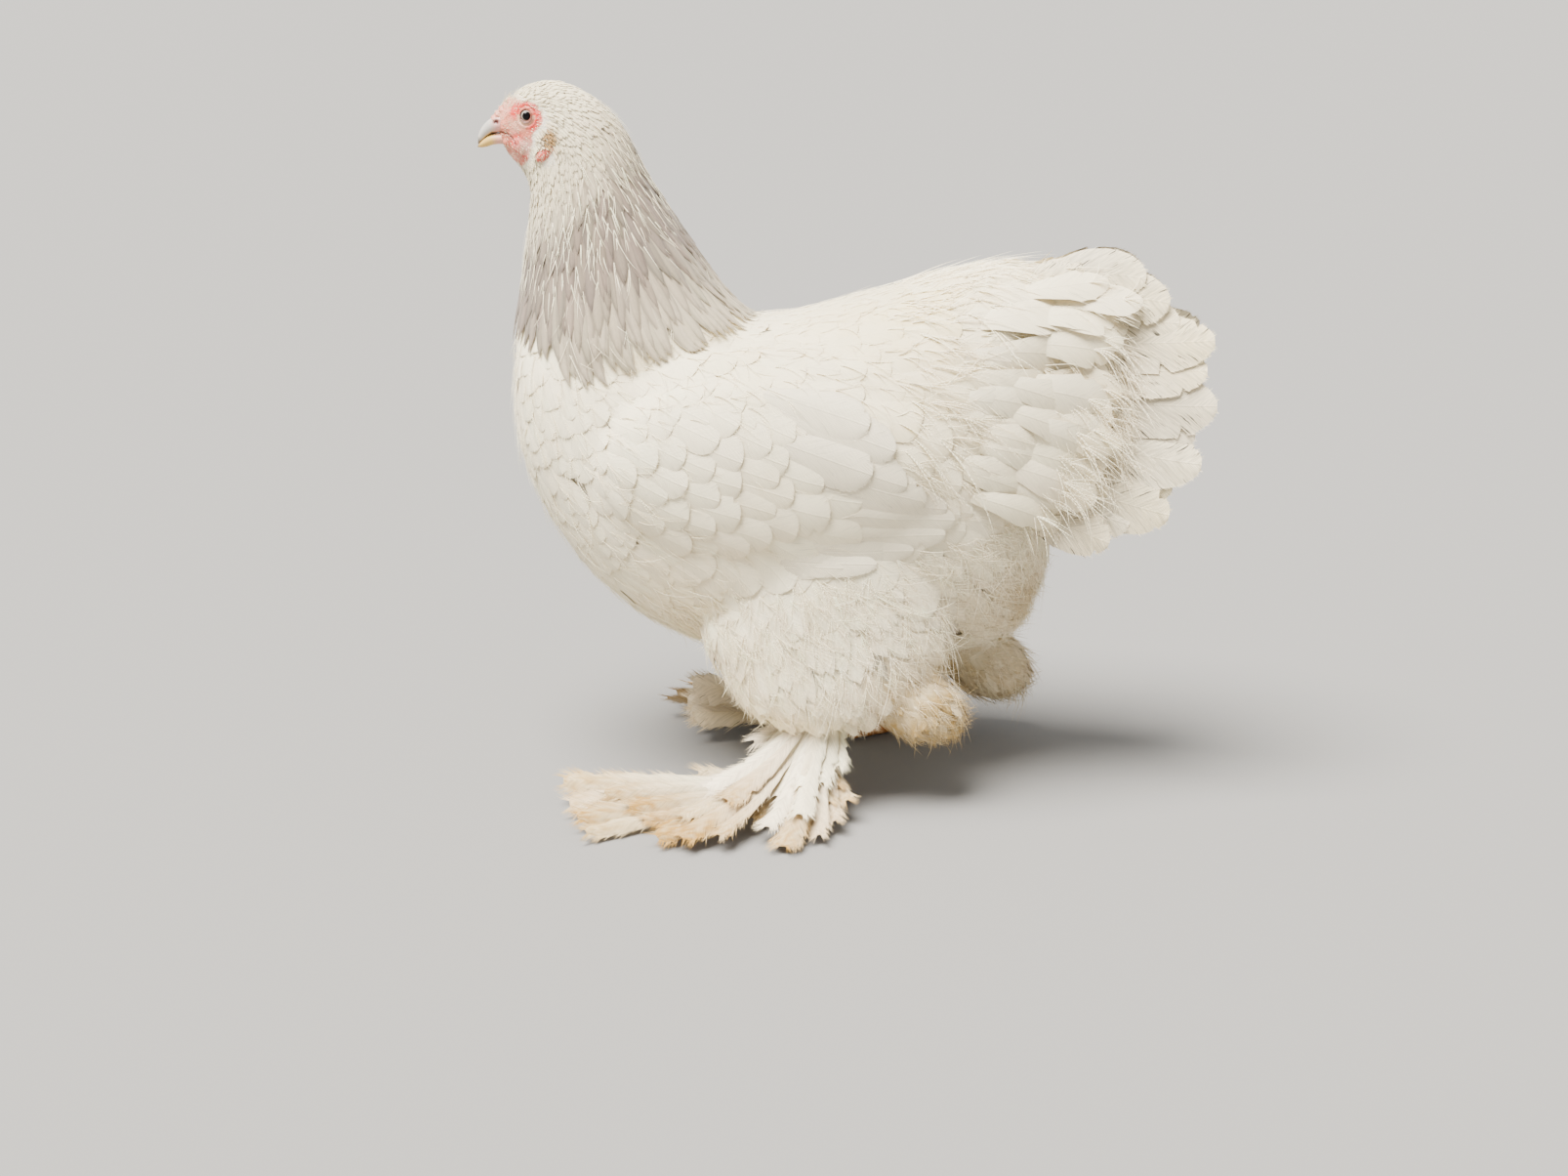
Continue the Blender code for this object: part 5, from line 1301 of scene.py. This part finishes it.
# Flight feathers, lowest first: tip X, Z, slope, length, half width
FLIGHT = (
    (0.000, 0.196, 0.00, 0.105, 0.0100), (0.024, 0.198, -0.02, 0.115, 0.0110), (0.052, 0.203, -0.05, 0.120, 0.0120),
    (0.076, 0.211, -0.10, 0.120, 0.0135), (0.084, 0.224, -0.16, 0.118, 0.0150), (0.078, 0.236, -0.22, 0.110, 0.0165),
    (0.060, 0.246, -0.28, 0.100, 0.0180), (0.044, 0.259, -0.32, 0.090, 0.0185), (0.018, 0.268, -0.34, 0.080, 0.0190),
    (0.034, 0.284, -0.34, 0.086, 0.0180), (0.014, 0.298, -0.34, 0.080, 0.0180),
)
for side, word in ((-1, "left"), (1, "right")):
    rng = np.random.default_rng(57 + side)
    starts, sizes = [], []
    x, row = WING_MIDDLE[0] - WING_SIZE[0], 0
    while x < 0.036:
        step = np.interp(x, (-0.18, -0.02, 0.02), (0.0170, 0.0262, 0.0278))
        for k in range(-6, 7):
            z = WING_MIDDLE[1] + step * 1.20 * (k + 0.5 * (row % 2)) - 0.10 * (x - WING_MIDDLE[0])
            inside = ((x - WING_MIDDLE[0]) / WING_SIZE[0]) ** 2 + ((z - WING_MIDDLE[1]) / WING_SIZE[1]) ** 2
            if inside < 1.04:
                jitter = rng.normal(0, 0.09 * step, 2)
                starts.append(form_tree.ray_cast((x + jitter[0], side * 0.3, z + jitter[1]), (0, -side, 0))[0])
                sizes.append(step)
        x, row = x + step * 0.86, row + 1
    starts, sizes = np.array(starts), np.array(sizes)
    headings = flow(starts) + np.array((0, 0, -0.06)) + rng.normal(0, 0.05, (len(starts), 3))
    lines, ups = lay(form_tree, starts, headings, 2.45 * sizes * rng.uniform(0.92, 1.08, len(starts)), 12, 0.3)
    colour = dyed(starts, rng, WHITE, 0.010)
    half = 0.79 * sizes * rng.uniform(0.92, 1.10, len(starts))
    # Rims painted a shade darker: painted shade along each covert's edge
    coverts = vanes(lines, ups, half, rounded, colour, rng, over=form_tree, across_at=SEVEN_ACROSS,
                    lift=(-0.0010, 0.0040, -0.0013), roll=0.03, crown=0.065, ragged=0.015, splits=0.03,
                    fringe=(1.0, 1.0, 0.995, 0.975), layer=0.0006, stain=(STAIN, np.clip(soiled(lines[:, -1]), 0, 1)),
                    worn_from=-0.2, comb=(40, 0.0026, 0.00022))
    flight = []
    for order, (x, z, slope, length, width) in enumerate(FLIGHT):
        way = unit(np.array((1.0, 0, slope)))
        root = (x - way[0] * length, side * 0.3, z - way[2] * length)
        start = np.array([form_tree.ray_cast(root, (0, -side, 0))[0]])
        line, up = lay(form_tree, start, way[None], np.array([length]), 24, 0.0)
        base = 0.0004 + 0.00026 * order
        # Painted shade: the flight feathers are a greyer white, the shade on the wing's rear, and darker at shaft and
        # rim
        tone = dyed(start, rng, WHITE, 0.012) * (0.93, 0.93, 0.95)
        flight.append(vanes(line, up, np.array([width]), rounded, tone, rng, over=form_tree,
                            across_at=np.linspace(-1, 1, 11), lift=(base - 0.0020, 0.0046, -0.0008), roll=0.04,
                            crown=0.075, ragged=0.02, splits=0.05, fringe=(0.92, 1.0, 0.98, 0.90), layer=0.0004,
                            sweep=0.6, comb=(110, 0.0024, 0.00022)))

    def on_wing(p):
        from_middle = ((p[:, 0] - WING_MIDDLE[0]) / 0.12) ** 2 + ((p[:, 2] - WING_MIDDLE[1]) / 0.06) ** 2
        return (from_middle < 1) * (p[:, 1] * side > 0.07) * 1.0

    stray = wisps(on_wing, 0.020, 28, 0.018, 0.00028, rng)
    plumage(f"wing_coat_{word}", [coverts, *flight, stray], feather, (f"wing_{word}",), parted=0.28)


# Tail
# Two slanting fans of broad quills, rounded at the ends and split by wear, with rows of soft
# coverts over their roots that swell into the brahma's cushion.
# Each quill: root, tip, slope at its end in degrees, half width; the upper ones lie outermost
RECTRICES = (
    ((0.124, 0.004, 0.378), (0.2250, 0.010, 0.3935), -12, 0.0220),
    ((0.126, 0.008, 0.366), (0.2430, 0.018, 0.3780), -10, 0.0220),
    ((0.132, 0.012, 0.350), (0.2770, 0.030, 0.3530), 6, 0.0230),
    ((0.134, 0.015, 0.334), (0.2720, 0.036, 0.3320), 4, 0.0220),
    ((0.136, 0.019, 0.314), (0.2800, 0.044, 0.3070), 3, 0.0245),
    ((0.136, 0.024, 0.290), (0.2700, 0.052, 0.2640), -4, 0.0240),
    ((0.130, 0.030, 0.262), (0.2470, 0.060, 0.2260), -11, 0.0240),
    ((0.118, 0.036, 0.244), (0.2020, 0.067, 0.2050), -18, 0.0200),
)
# Covert rows: start and end as a share of the quill beneath, height over it, how many, half width
COVERT_ROWS = ((-0.15, 0.60, 0.002, 13, 0.0165), (-0.20, 0.52, 0.005, 17, 0.0145), (-0.30, 0.42, 0.008, 20, 0.0130),
               (-0.40, 0.32, 0.010, 20, 0.0125))


def cast(tree, starts, headings, lengths, count, held, droop=0.05):
    """Lines that lie on a surface for the share held, and then run on straight and droop a little."""
    points, normals = lay(tree, starts, headings, lengths, count, 0.2)
    shares = stations(count)
    last = int(np.searchsorted(shares, held))
    way = unit(points[:, last] - points[:, last - 1])
    for i in range(last + 1, count):
        way = unit(way + np.array((0, 0, -droop)))
        points[:, i] = points[:, i - 1] + way * (lengths * (shares[i] - shares[i - 1]))[:, None]
        normals[:, i] = normals[:, last]
    along = unit(np.gradient(points, axis=1))
    return points, unit(normals - along * (normals * along).sum(2, keepdims=True))


def arc(root, bend, tip, t):
    """A curved line from root to tip, drawn towards bend."""
    t = t[:, None]
    return (1 - t) ** 2 * root + 2 * t * (1 - t) * bend + t**2 * tip


def quill_line(root, tip, slope, t):
    """A quill's line, which starts towards the tail's middle and ends at its own slope."""
    angle = math.radians(slope)
    way = np.array((math.cos(angle), 0.10 * np.sign(tip[1]), math.sin(angle)))
    return arc(root, tip - way * np.linalg.norm(tip - root) * 0.5, tip, t)


rng = np.random.default_rng(71)
groups = []
t = stations(28)
for side in (-1, 1):
    mirror = np.array((1, side, 1))
    lines = np.array([quill_line(root * mirror, tip * mirror, slope, t) for root, tip, slope, _ in RECTRICES])
    lean = np.radians(np.linspace(60, 84, len(RECTRICES)))
    faces_to = np.stack([0 * lean, side * np.sin(lean), np.cos(lean)], 1)
    widths = np.array([w for *_, w in RECTRICES])
    height = np.linspace(0.0090, 0.0, len(RECTRICES))
    # A second layer lies under the gaps of the first
    first_layer = (lines, faces_to, height)
    second_layer = [(rows + np.roll(rows, 1, axis=0))[1:] / 2 for rows in first_layer]
    for layer, wide, down, grow in ((second_layer, widths[1:], 0.003, 0.93), (first_layer, widths, 0.0, 1.0)):
        at, facing, level = layer
        place = at[:, :1] + (at - at[:, :1]) * grow + facing[:, None, :] * (level - down)[:, None, None]
        ups = np.broadcast_to(unit(facing)[:, None, :], place.shape)
        # A greyer white, darkest towards the shaft: partly the quills' own grey, partly painted shade where they lie
        # under one another
        colour = dyed(place[:, 0], rng, WHITE, 0.015) * (0.90, 0.89, 0.91)
        half = wide * rng.uniform(0.95, 1.05, len(wide))
        groups.append(vanes(place, ups, half, rounded, colour, rng, across_at=np.linspace(-1, 1, 11), roll=0.05,
                            crown=0.10, ragged=0.012, splits=0.09, fringe=(0.66, 0.80, 0.94, 0.97), sweep=0.65,
                            layer=0.0010, stain=(STAIN, 0.5 * rng.random(len(wide))), comb=(110, 0.0026, 0.00024)))
    for low, high, over, number, width in COVERT_ROWS:
        where = np.linspace(0, len(RECTRICES) - 1, number) + rng.normal(0, 0.12, number)
        where = np.clip(where, 0, len(RECTRICES) - 1.001)
        first, part = where.astype(int), (where % 1)[:, None]
        root = lines[first, 0] * (1 - part) + lines[first + 1, 0] * part
        tip_line = lines[first] * (1 - part[..., None]) + lines[first + 1] * part[..., None]
        facing = unit(faces_to[first] * (1 - part) + faces_to[first + 1] * part)
        shares = low + (high - low) * t
        # Before the quill's root a covert runs on straight into the rump
        before = np.minimum(shares, 0)
        spread = np.stack([[np.interp(shares, t, tip_line[i, :, k]) + before * (tip_line[i, 3, k] - root[i, k]) / t[3]
                            for k in range(3)] for i in range(number)]).transpose(0, 2, 1)
        level = np.interp(where, range(len(height)), height)
        rise = over * (1 - 0.75 * t**2) + 0.006 * 4 * t * (1 - t)
        spread = spread + facing[:, None, :] * (rise[None, :] + level[:, None])[..., None]
        sag = rng.uniform(0.000, 0.008, (number, 1)) * t[None, :] ** 2
        spread = spread + np.array((0, 0, -1)) * sag[..., None]
        ups = np.broadcast_to(facing[:, None, :], spread.shape)
        # A little greyer and darker along the shaft: partly their own tone, partly painted shade
        colour = dyed(spread[:, 0], rng, WHITE, 0.012) * (0.95, 0.94, 0.95)
        half = width * rng.uniform(0.9, 1.08, number)
        groups.append(vanes(spread, ups, half, leafy, colour, rng, across_at=SEVEN_ACROSS, roll=0.05, crown=0.10,
                            ragged=0.03, splits=0.05, fringe=(0.84, 0.92, 1.0, 1.0), sweep=0.65, layer=0.0005,
                            stain=(STAIN, 0.5 * rng.random(number)), comb=(60, 0.0050, 0.00026)))
        # Long curling barbs hang from the coverts' ends
        way = spread[:, -1] - spread[:, -6] + np.array((0, 0, -0.003))
        groups.append(barbs(spread[:, -9] + facing * 0.002, facing, way, np.where(where > 5.3, 0.014, 0.034), colour,
                            rng, count=9, fan=0.25, width=0.00055, rise=0.18, curl=0.6, rings=6, fall=0.75))
plumage("tail_coat", groups, feather, ("tail",), parted=1.5)


def on_rump(p):
    return np.clip((p[:, 0] - 0.095) / 0.02, 0, 1) * (p[:, 2] > 0.255) * (p[:, 0] < 0.190)


# The cushion: soft feathers rooted on the rump that run out over the roots of the tail
spots = sow(form_triangles, on_rump, 0.0102, 33)
outward_side = np.sign(spots[:, 1]) * np.clip(np.abs(spots[:, 1]) / 0.02, 0, 1)
slope = np.interp(spots[:, 2], (0.26, 0.33, 0.38, 0.40), (-0.62, -0.34, -0.10, 0.06))
headings = np.stack([np.ones(len(spots)), -0.16 * outward_side, slope], 1)
lengths = rng.uniform(0.060, 0.092, len(spots))
lines, ups = cast(form_tree, spots, headings + rng.normal(0, 0.08, (len(spots), 3)), lengths, 12, 0.42)
half = rng.uniform(0.0085, 0.0130, len(spots))
colour = dyed(spots, rng, WHITE, 0.012)
cushion = vanes(lines, ups, half, leafy, colour, rng, across_at=SEVEN_ACROSS, lift=(-0.0014, 0.0040, -0.0004),
                roll=0.04, crown=0.07, ragged=0.03, splits=0.03, fringe=(0.97, 1.0, 1.0, 1.0), layer=0.0012,
                sweep=0.6, stain=(STAIN, 0.3 * rng.random(len(spots))), worn_from=0.0, comb=(24, 0.0050, 0.00026))
# Over them a mantle of the broadest, softest feathers bridges from the rump to the quills, which
# lie this far from the middle at these heights
QUILL_Z, QUILL_Y = (0.20, 0.26, 0.31, 0.35, 0.385, 0.405), (0.067, 0.052, 0.044, 0.031, 0.014, 0.006)
mantle_lines, mantle_up = [], []
for side in (-1, 1):
    for z in np.linspace(0.258, 0.388, 12):
        for x in (0.076, 0.092, 0.108, 0.124, 0.138):
            x, z_at = x + rng.normal(0, 0.005), z + rng.normal(0, 0.005)
            met = form_tree.ray_cast((x, side * 0.3, min(z_at, 0.392)), (0, -side, 0))[0]
            reach = rng.uniform(0.050, 0.074)
            fall = np.interp(z_at, (0.26, 0.32, 0.37, 0.40), (-0.40, -0.24, -0.08, 0.02)) + rng.normal(0, 0.11)
            tip_z = z_at + fall * reach
            quill_y = np.interp(tip_z, QUILL_Z, QUILL_Y)
            tip_y = quill_y * np.interp(x + reach, (0.13, 0.25), (0.75, 1.0)) + 0.014 + 0.05 * (0.14 - x)
            root = np.array(met) - np.array((0, side, 0)) * 0.002
            tip = np.array((x + reach, side * min(tip_y, abs(met[1])), tip_z))
            arch = (0.50 * fall + 0.09 - 0.05 * (z_at > 0.38)) * reach
            bend = root + np.array((0.52 * reach, side * 0.08 * reach, arch))
            mantle_lines.append(arc(root, bend, tip, stations(14)))
            lean = np.clip((z_at - 0.350) / 0.045, 0, 0.5)
            mantle_up.append((0.15, side * (1 - 0.85 * lean), 0.15 + lean))
mantle_lines, mantle_up = np.array(mantle_lines), unit(np.array(mantle_up))
number = len(mantle_lines)
ups = np.broadcast_to(mantle_up[:, None, :], mantle_lines.shape)
half = rng.uniform(0.0120, 0.0185, number) * np.interp(mantle_lines[:, 0, 2], (0.34, 0.38), (1.0, 1.2))
mantle = vanes(mantle_lines, ups, half, leafy, dyed(mantle_lines[:, 0], rng, WHITE, 0.015), rng,
               across_at=SEVEN_ACROSS, crown=0.14, roll=0.06, ragged=0.03, splits=0.04,
               fringe=(0.96, 1.0, 1.0, 0.98), layer=0.0012, sweep=0.6, stain=(STAIN, 0.3 * rng.random(number)),
               worn_from=0.0, comb=(44, 0.0100, 0.00026, 0.35))


def on_cushion(p):
    return np.clip((p[:, 0] - 0.030) / 0.02, 0, 1) * (p[:, 2] > 0.250)


# Long loose barbs lie over both and curl down
way = mantle_lines[:, -1] - mantle_lines[:, -6]
silk = barbs(mantle_lines[:, -6] + mantle_up * 0.001, mantle_up, way, np.full(number, 0.032),
             dyed(mantle_lines[:, 0], rng, WHITE, 0.02), rng, count=6, fan=0.28, width=0.00048, rise=0.16,
             curl=0.9, rings=6, fall=0.9)
curls = wisps(on_cushion, 0.0095, 34, 0.044, 0.00046, rng, curl=0.35, count=3, fan=0.12, fall=0.7)
plumage("cushion_feathers", [cushion, mantle, silk, curls], feather, parted=0.4)


# Fluff of thighs, belly and hocks
# Long soft feathers without hooks: their barbs hang loose and make a deep cottony mass, stained
# buff at the vent and the hocks.
rng = np.random.default_rng(83)


def on_fluff(p):
    return np.clip((fluff_line(p) + 0.018 - p[:, 2]) / 0.02, 0, 1)


def behind(p):
    """Whether places lie at the vent."""
    return (p[:, 0] > 0.108) * (p[:, 2] > 0.10) * (p[:, 2] < 0.262)


def hem_share(p):
    low = near(p * (0, 0, 1), (0, 0, 0.088), (1, 1, 0.022)) > 0.4
    return np.maximum(low * (np.abs(p[:, 1]) > 0.045), behind(p)) * 1.0


spots = sow(form_triangles, on_fluff, 0.0112, 14)
lengths = 0.044 * rng.uniform(0.8, 1.25, len(spots))
lines, ups = lay(form_tree, spots, flow(spots) + rng.normal(0, 0.20, (len(spots), 3)), lengths, 8)
half = 0.0096 * rng.uniform(0.8, 1.2, len(spots))
colour = dyed(spots, rng, WHITE, 0.015)
stained = np.clip(soiled(lines[:, -1]), 0, 1)
# Rims painted a shade darker: painted shade along each feather's edge
soft = vanes(lines, ups, half, pointed, colour, rng, over=form_tree, lift=(-0.0016, 0.0044, -0.0012), roll=0.04,
             crown=0.08, ragged=0.06, fringe=(1.02, 1.0, 0.96, 0.90), layer=0.0010, stain=(BUFF, stained),
             worn_from=-0.3, comb=(5, 0.0060, 0.00026))
# Along the lower edge of thighs and puffs, and at the vent, they hang free
spots = sow(form_triangles, hem_share, 0.0105, 16)
fall_way = flow(spots) + np.where(behind(spots)[:, None], (0.45, 0, 0.0), (0.25, 0, -0.4))
fall_way = fall_way + rng.normal(0, 0.14, (len(spots), 3))
lines, ups = cast(form_tree, spots, fall_way, rng.uniform(0.022, 0.038, len(spots)), 9, 0.42, 0.06)
stained = np.clip(soiled(lines[:, -1]) * rng.uniform(0.4, 1.2, len(spots)), 0, 1)
hem = vanes(lines, ups, rng.uniform(0.0050, 0.0095, len(spots)), leafy, dyed(spots, rng, WHITE, 0.015), rng,
            lift=(-0.0012, 0.0020, 0.0), roll=0.10, crown=0.08, ragged=0.10, splits=0.10, fringe=(1.0, 1.0, 1.0, 1.0),
            layer=0.0008, stain=(BUFF, stained), worn_from=-0.2, comb=(40, 0.0070, 0.00020, 0.4))
plumage("fluff_feathers", [soft, hem], feather, parted=0.7)

spots = sow(form_triangles, on_fluff, 0.0074, 15)
ups = upward(form_tree, spots)
headings = flow(spots) + rng.normal(0, 0.35, (len(spots), 3))
stained = np.clip(soiled(spots + flow(spots) * 0.015), 0, 1)
# At the vent they stand out behind, and from the puffs they hang down and back
standing = behind(spots) * 1.0
on_puff = sum(near(spots, middle, (0.03, 0.05, 0.03)) for middle in ((0.078, -0.083, 0.070), (0.150, 0.083, 0.055)))
headings = headings + standing[:, None] * (0.9, 0.0, -0.10)
headings = headings + on_puff[:, None] * (0.5, 0.0, -0.5)
reach = 0.019 + 0.008 * standing + 0.009 * on_puff
for word, side in (("left", -1), ("right", 1)):
    chosen = spots[:, 1] * side > 0
    part = spots[chosen]
    tufts = barbs(part + ups[chosen] * 0.0012, ups[chosen], headings[chosen], reach[chosen],
                  dyed(part, rng, WHITE, 0.045), rng, count=6, fan=0.32, width=0.00034, rise=0.22, curl=0.8,
                  stain=(BUFF, stained[chosen]), fall=0.25)

    def above_hock(p):
        return on_fluff(p) * (p[:, 1] * side > 0) * (p[:, 2] > 0.115)

    long = wisps(above_hock, 0.0135, 29, 0.032, 0.00036, rng, curl=1.1, count=5, fan=0.14, fall=0.5, stain=BUFF)
    plumage(f"fluff_barbs_{word}", [tufts, long], feather)


# Feet
# Boots of stiff feathers on the outer side of shank and toes, clean and white above, with their
# ends frayed and browned by the ground; horn claws at the ends of the toes.
DIRT = linear("#A87E32")
# Each boot feather from the foot's middle: root ahead, outward and up, tip the same, half width,
# and how much of it the ground has browned
BOOT_QUILLS = (
    ((0.042, 0.010, 0.014), (0.191, 0.022, 0.012), 0.0105, 0.9),
    ((0.038, 0.014, 0.018), (0.184, 0.050, 0.008), 0.0130, 0.8),
    ((0.034, 0.018, 0.014), (0.176, 0.080, 0.005), 0.0110, 1.0),
    ((0.032, 0.018, 0.012), (0.168, 0.102, 0.004), 0.0070, 0.9),
    ((0.006, 0.008, 0.056), (0.114, 0.113, 0.004), 0.0100, 1.0),
    ((0.004, 0.008, 0.064), (0.098, 0.119, 0.004), 0.0130, 1.0),
    ((0.004, 0.008, 0.066), (0.098, 0.096, 0.012), 0.0080, 0.7),
    ((0.004, 0.008, 0.062), (0.070, 0.117, 0.003), 0.0070, 0.9),
    ((0.002, 0.009, 0.076), (0.066, 0.080, 0.022), 0.0100, 0.9),
    ((0.000, 0.009, 0.080), (0.080, 0.066, 0.024), 0.0090, 0.1),
    ((-0.005, 0.010, 0.082), (0.022, 0.119, 0.003), 0.0125, 0.9),
    ((-0.004, 0.010, 0.080), (0.034, 0.100, 0.008), 0.0080, 0.2),
    ((-0.008, 0.010, 0.082), (0.010, 0.092, 0.012), 0.0085, 0.1),
    ((-0.010, 0.009, 0.074), (-0.004, 0.100, 0.004), 0.0060, 0.5),
    ((-0.011, 0.008, 0.058), (-0.016, 0.080, 0.010), 0.0060, 0.7),
    ((-0.010, 0.006, 0.050), (-0.026, 0.056, 0.016), 0.0055, 0.8),
    ((0.030, -0.006, 0.012), (0.118, 0.006, 0.010), 0.0095, 0.6),
)
# On the inner toe they spread upwards too; seen on the right foot, whose toes reach past the left leg
TOE_QUILLS = (
    ((0.050, -0.004, 0.014), (0.168, -0.020, 0.052), 0.0160, 0.25),
    ((0.052, -0.002, 0.012), (0.172, -0.010, 0.036), 0.0160, 0.35),
    ((0.052, 0.000, 0.012), (0.168, -0.034, 0.018), 0.0160, 0.45),
    ((0.050, 0.002, 0.012), (0.150, -0.020, 0.030), 0.0150, 0.05),
)
# The trouser: clean feathers that fall from the hock round the shank, lost among the boot's
TROUSER = (
    ((0.000, 0.004, 0.096), (0.058, 0.034, 0.030), 0.0085),
    ((-0.004, 0.006, 0.098), (0.044, 0.050, 0.030), 0.0090),
    ((-0.008, 0.007, 0.098), (0.028, 0.062, 0.022), 0.0095),
    ((-0.012, 0.007, 0.098), (0.010, 0.064, 0.026), 0.0095),
    ((-0.015, 0.006, 0.097), (-0.006, 0.056, 0.028), 0.0085),
    ((-0.018, 0.003, 0.096), (-0.018, 0.040, 0.034), 0.0080),
    ((0.000, -0.002, 0.094), (0.046, 0.008, 0.042), 0.0090),
    ((-0.004, -0.006, 0.094), (0.028, -0.022, 0.044), 0.0095),
    ((-0.012, -0.008, 0.094), (0.000, -0.030, 0.044), 0.0090),
)
for side, word in ((-1, "left"), (1, "right")):
    rng = np.random.default_rng(97 + side)
    groups = []
    t = stations(22)
    middle = np.array((FOOT_X[side], side * STANCE, 0.0))
    facing_out = np.array((-1.0, side, 1.0))
    boots = BOOT_QUILLS if side < 0 else BOOT_QUILLS + TOE_QUILLS
    for quills, copies in ((boots, 2), ([(*quill, 0.0) for quill in TROUSER], 3)):
        for copy in range(copies):
            for root, tip, width, dirty in quills:
                looks = -side if (root, tip, width, dirty) in TOE_QUILLS else side
                root, tip = np.array(root), np.array(tip)
                root[2] -= HOCK_DROP[side] * root[2] / 0.108 * 0.9
                tip[2] -= HOCK_DROP[side] * (tip[2] > 0.025) * 0.7
                span = 1.0 if copy == 0 else rng.uniform(0.58, 0.82)
                tip = root + (tip - root) * (span, span, 1.0) + rng.normal(0, 0.0030, 3) * (1, 1, 0) * (copy > 0)
                tip[2] = max(tip[2], 0.0028) + 0.0022 * copy + rng.uniform(0, 0.006)
                knee = root + (tip - root) * (0.42, 0.42, 0.80)
                line = (middle + arc(root, knee, tip, t) * facing_out)[None]
                along = unit(np.gradient(line, axis=1))
                spread = np.array((-0.25, 0.75 * looks, 0.85))
                ups = unit(spread - along * (along @ spread)[..., None])
                half = np.array([width * rng.uniform(0.85, 1.05) * (1 - 0.3 * copy)])
                colour = dyed(line[:, 0], rng, WHITE, 0.04)
                dirt = np.array([dirty * rng.uniform(0.8, 1.0)])
                # Shafts and rims painted darker: painted shade in the gaps between the feathers
                groups.append(vanes(line, ups, half, blunt if dirty else leafy, colour, rng,
                                    across_at=np.linspace(-1, 1, 9), lift=(0.0, 0.001, 0.0), roll=0.14,
                                    crown=0.24, ragged=0.06, splits=0.20, fringe=(0.84, 0.98, 0.97, 0.80),
                                    sweep=0.8, worn_from=0.16, layer=0.0040 * (dirty > 0), leg=side,
                                    stain=(DIRT, dirt), comb=(150, 0.0100, 0.00038, 0.35)))
    plumage(f"foot_coat_{word}", groups, feather, (f"foot_{word}",), parted=1.0)

# Claw horn: worn, dull and brownish
claw_horn, tree, shader = finish_of("claw_horn")
place = add_node(tree, "ShaderNodeTexCoord")
grain = add_node(tree, "ShaderNodeTexNoise", Vector=place.outputs["Object"], Scale=600.0, Detail=4.0)
tones = add_node(tree, "ShaderNodeMix", {"data_type": "RGBA"}, Factor=grain.outputs["Fac"])
tones.inputs[6].default_value = (*linear("#B49A78"), 1)
tones.inputs[7].default_value = (*linear("#8A6F50"), 1)
bump = add_node(tree, "ShaderNodeBump", Strength=0.3, Distance=0.0002, Height=grain.outputs["Fac"])
tree.links.new(tones.outputs[2], shader.inputs["Base Color"])
tree.links.new(bump.outputs["Normal"], shader.inputs["Normal"])
shader.inputs["Roughness"].default_value = 0.5
for word in ("left", "right"):
    for name, _, _ in TOES:
        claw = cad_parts[f"claw_{word}_{name}"]
        claw.data.materials.clear()
        claw.data.materials.append(claw_horn)
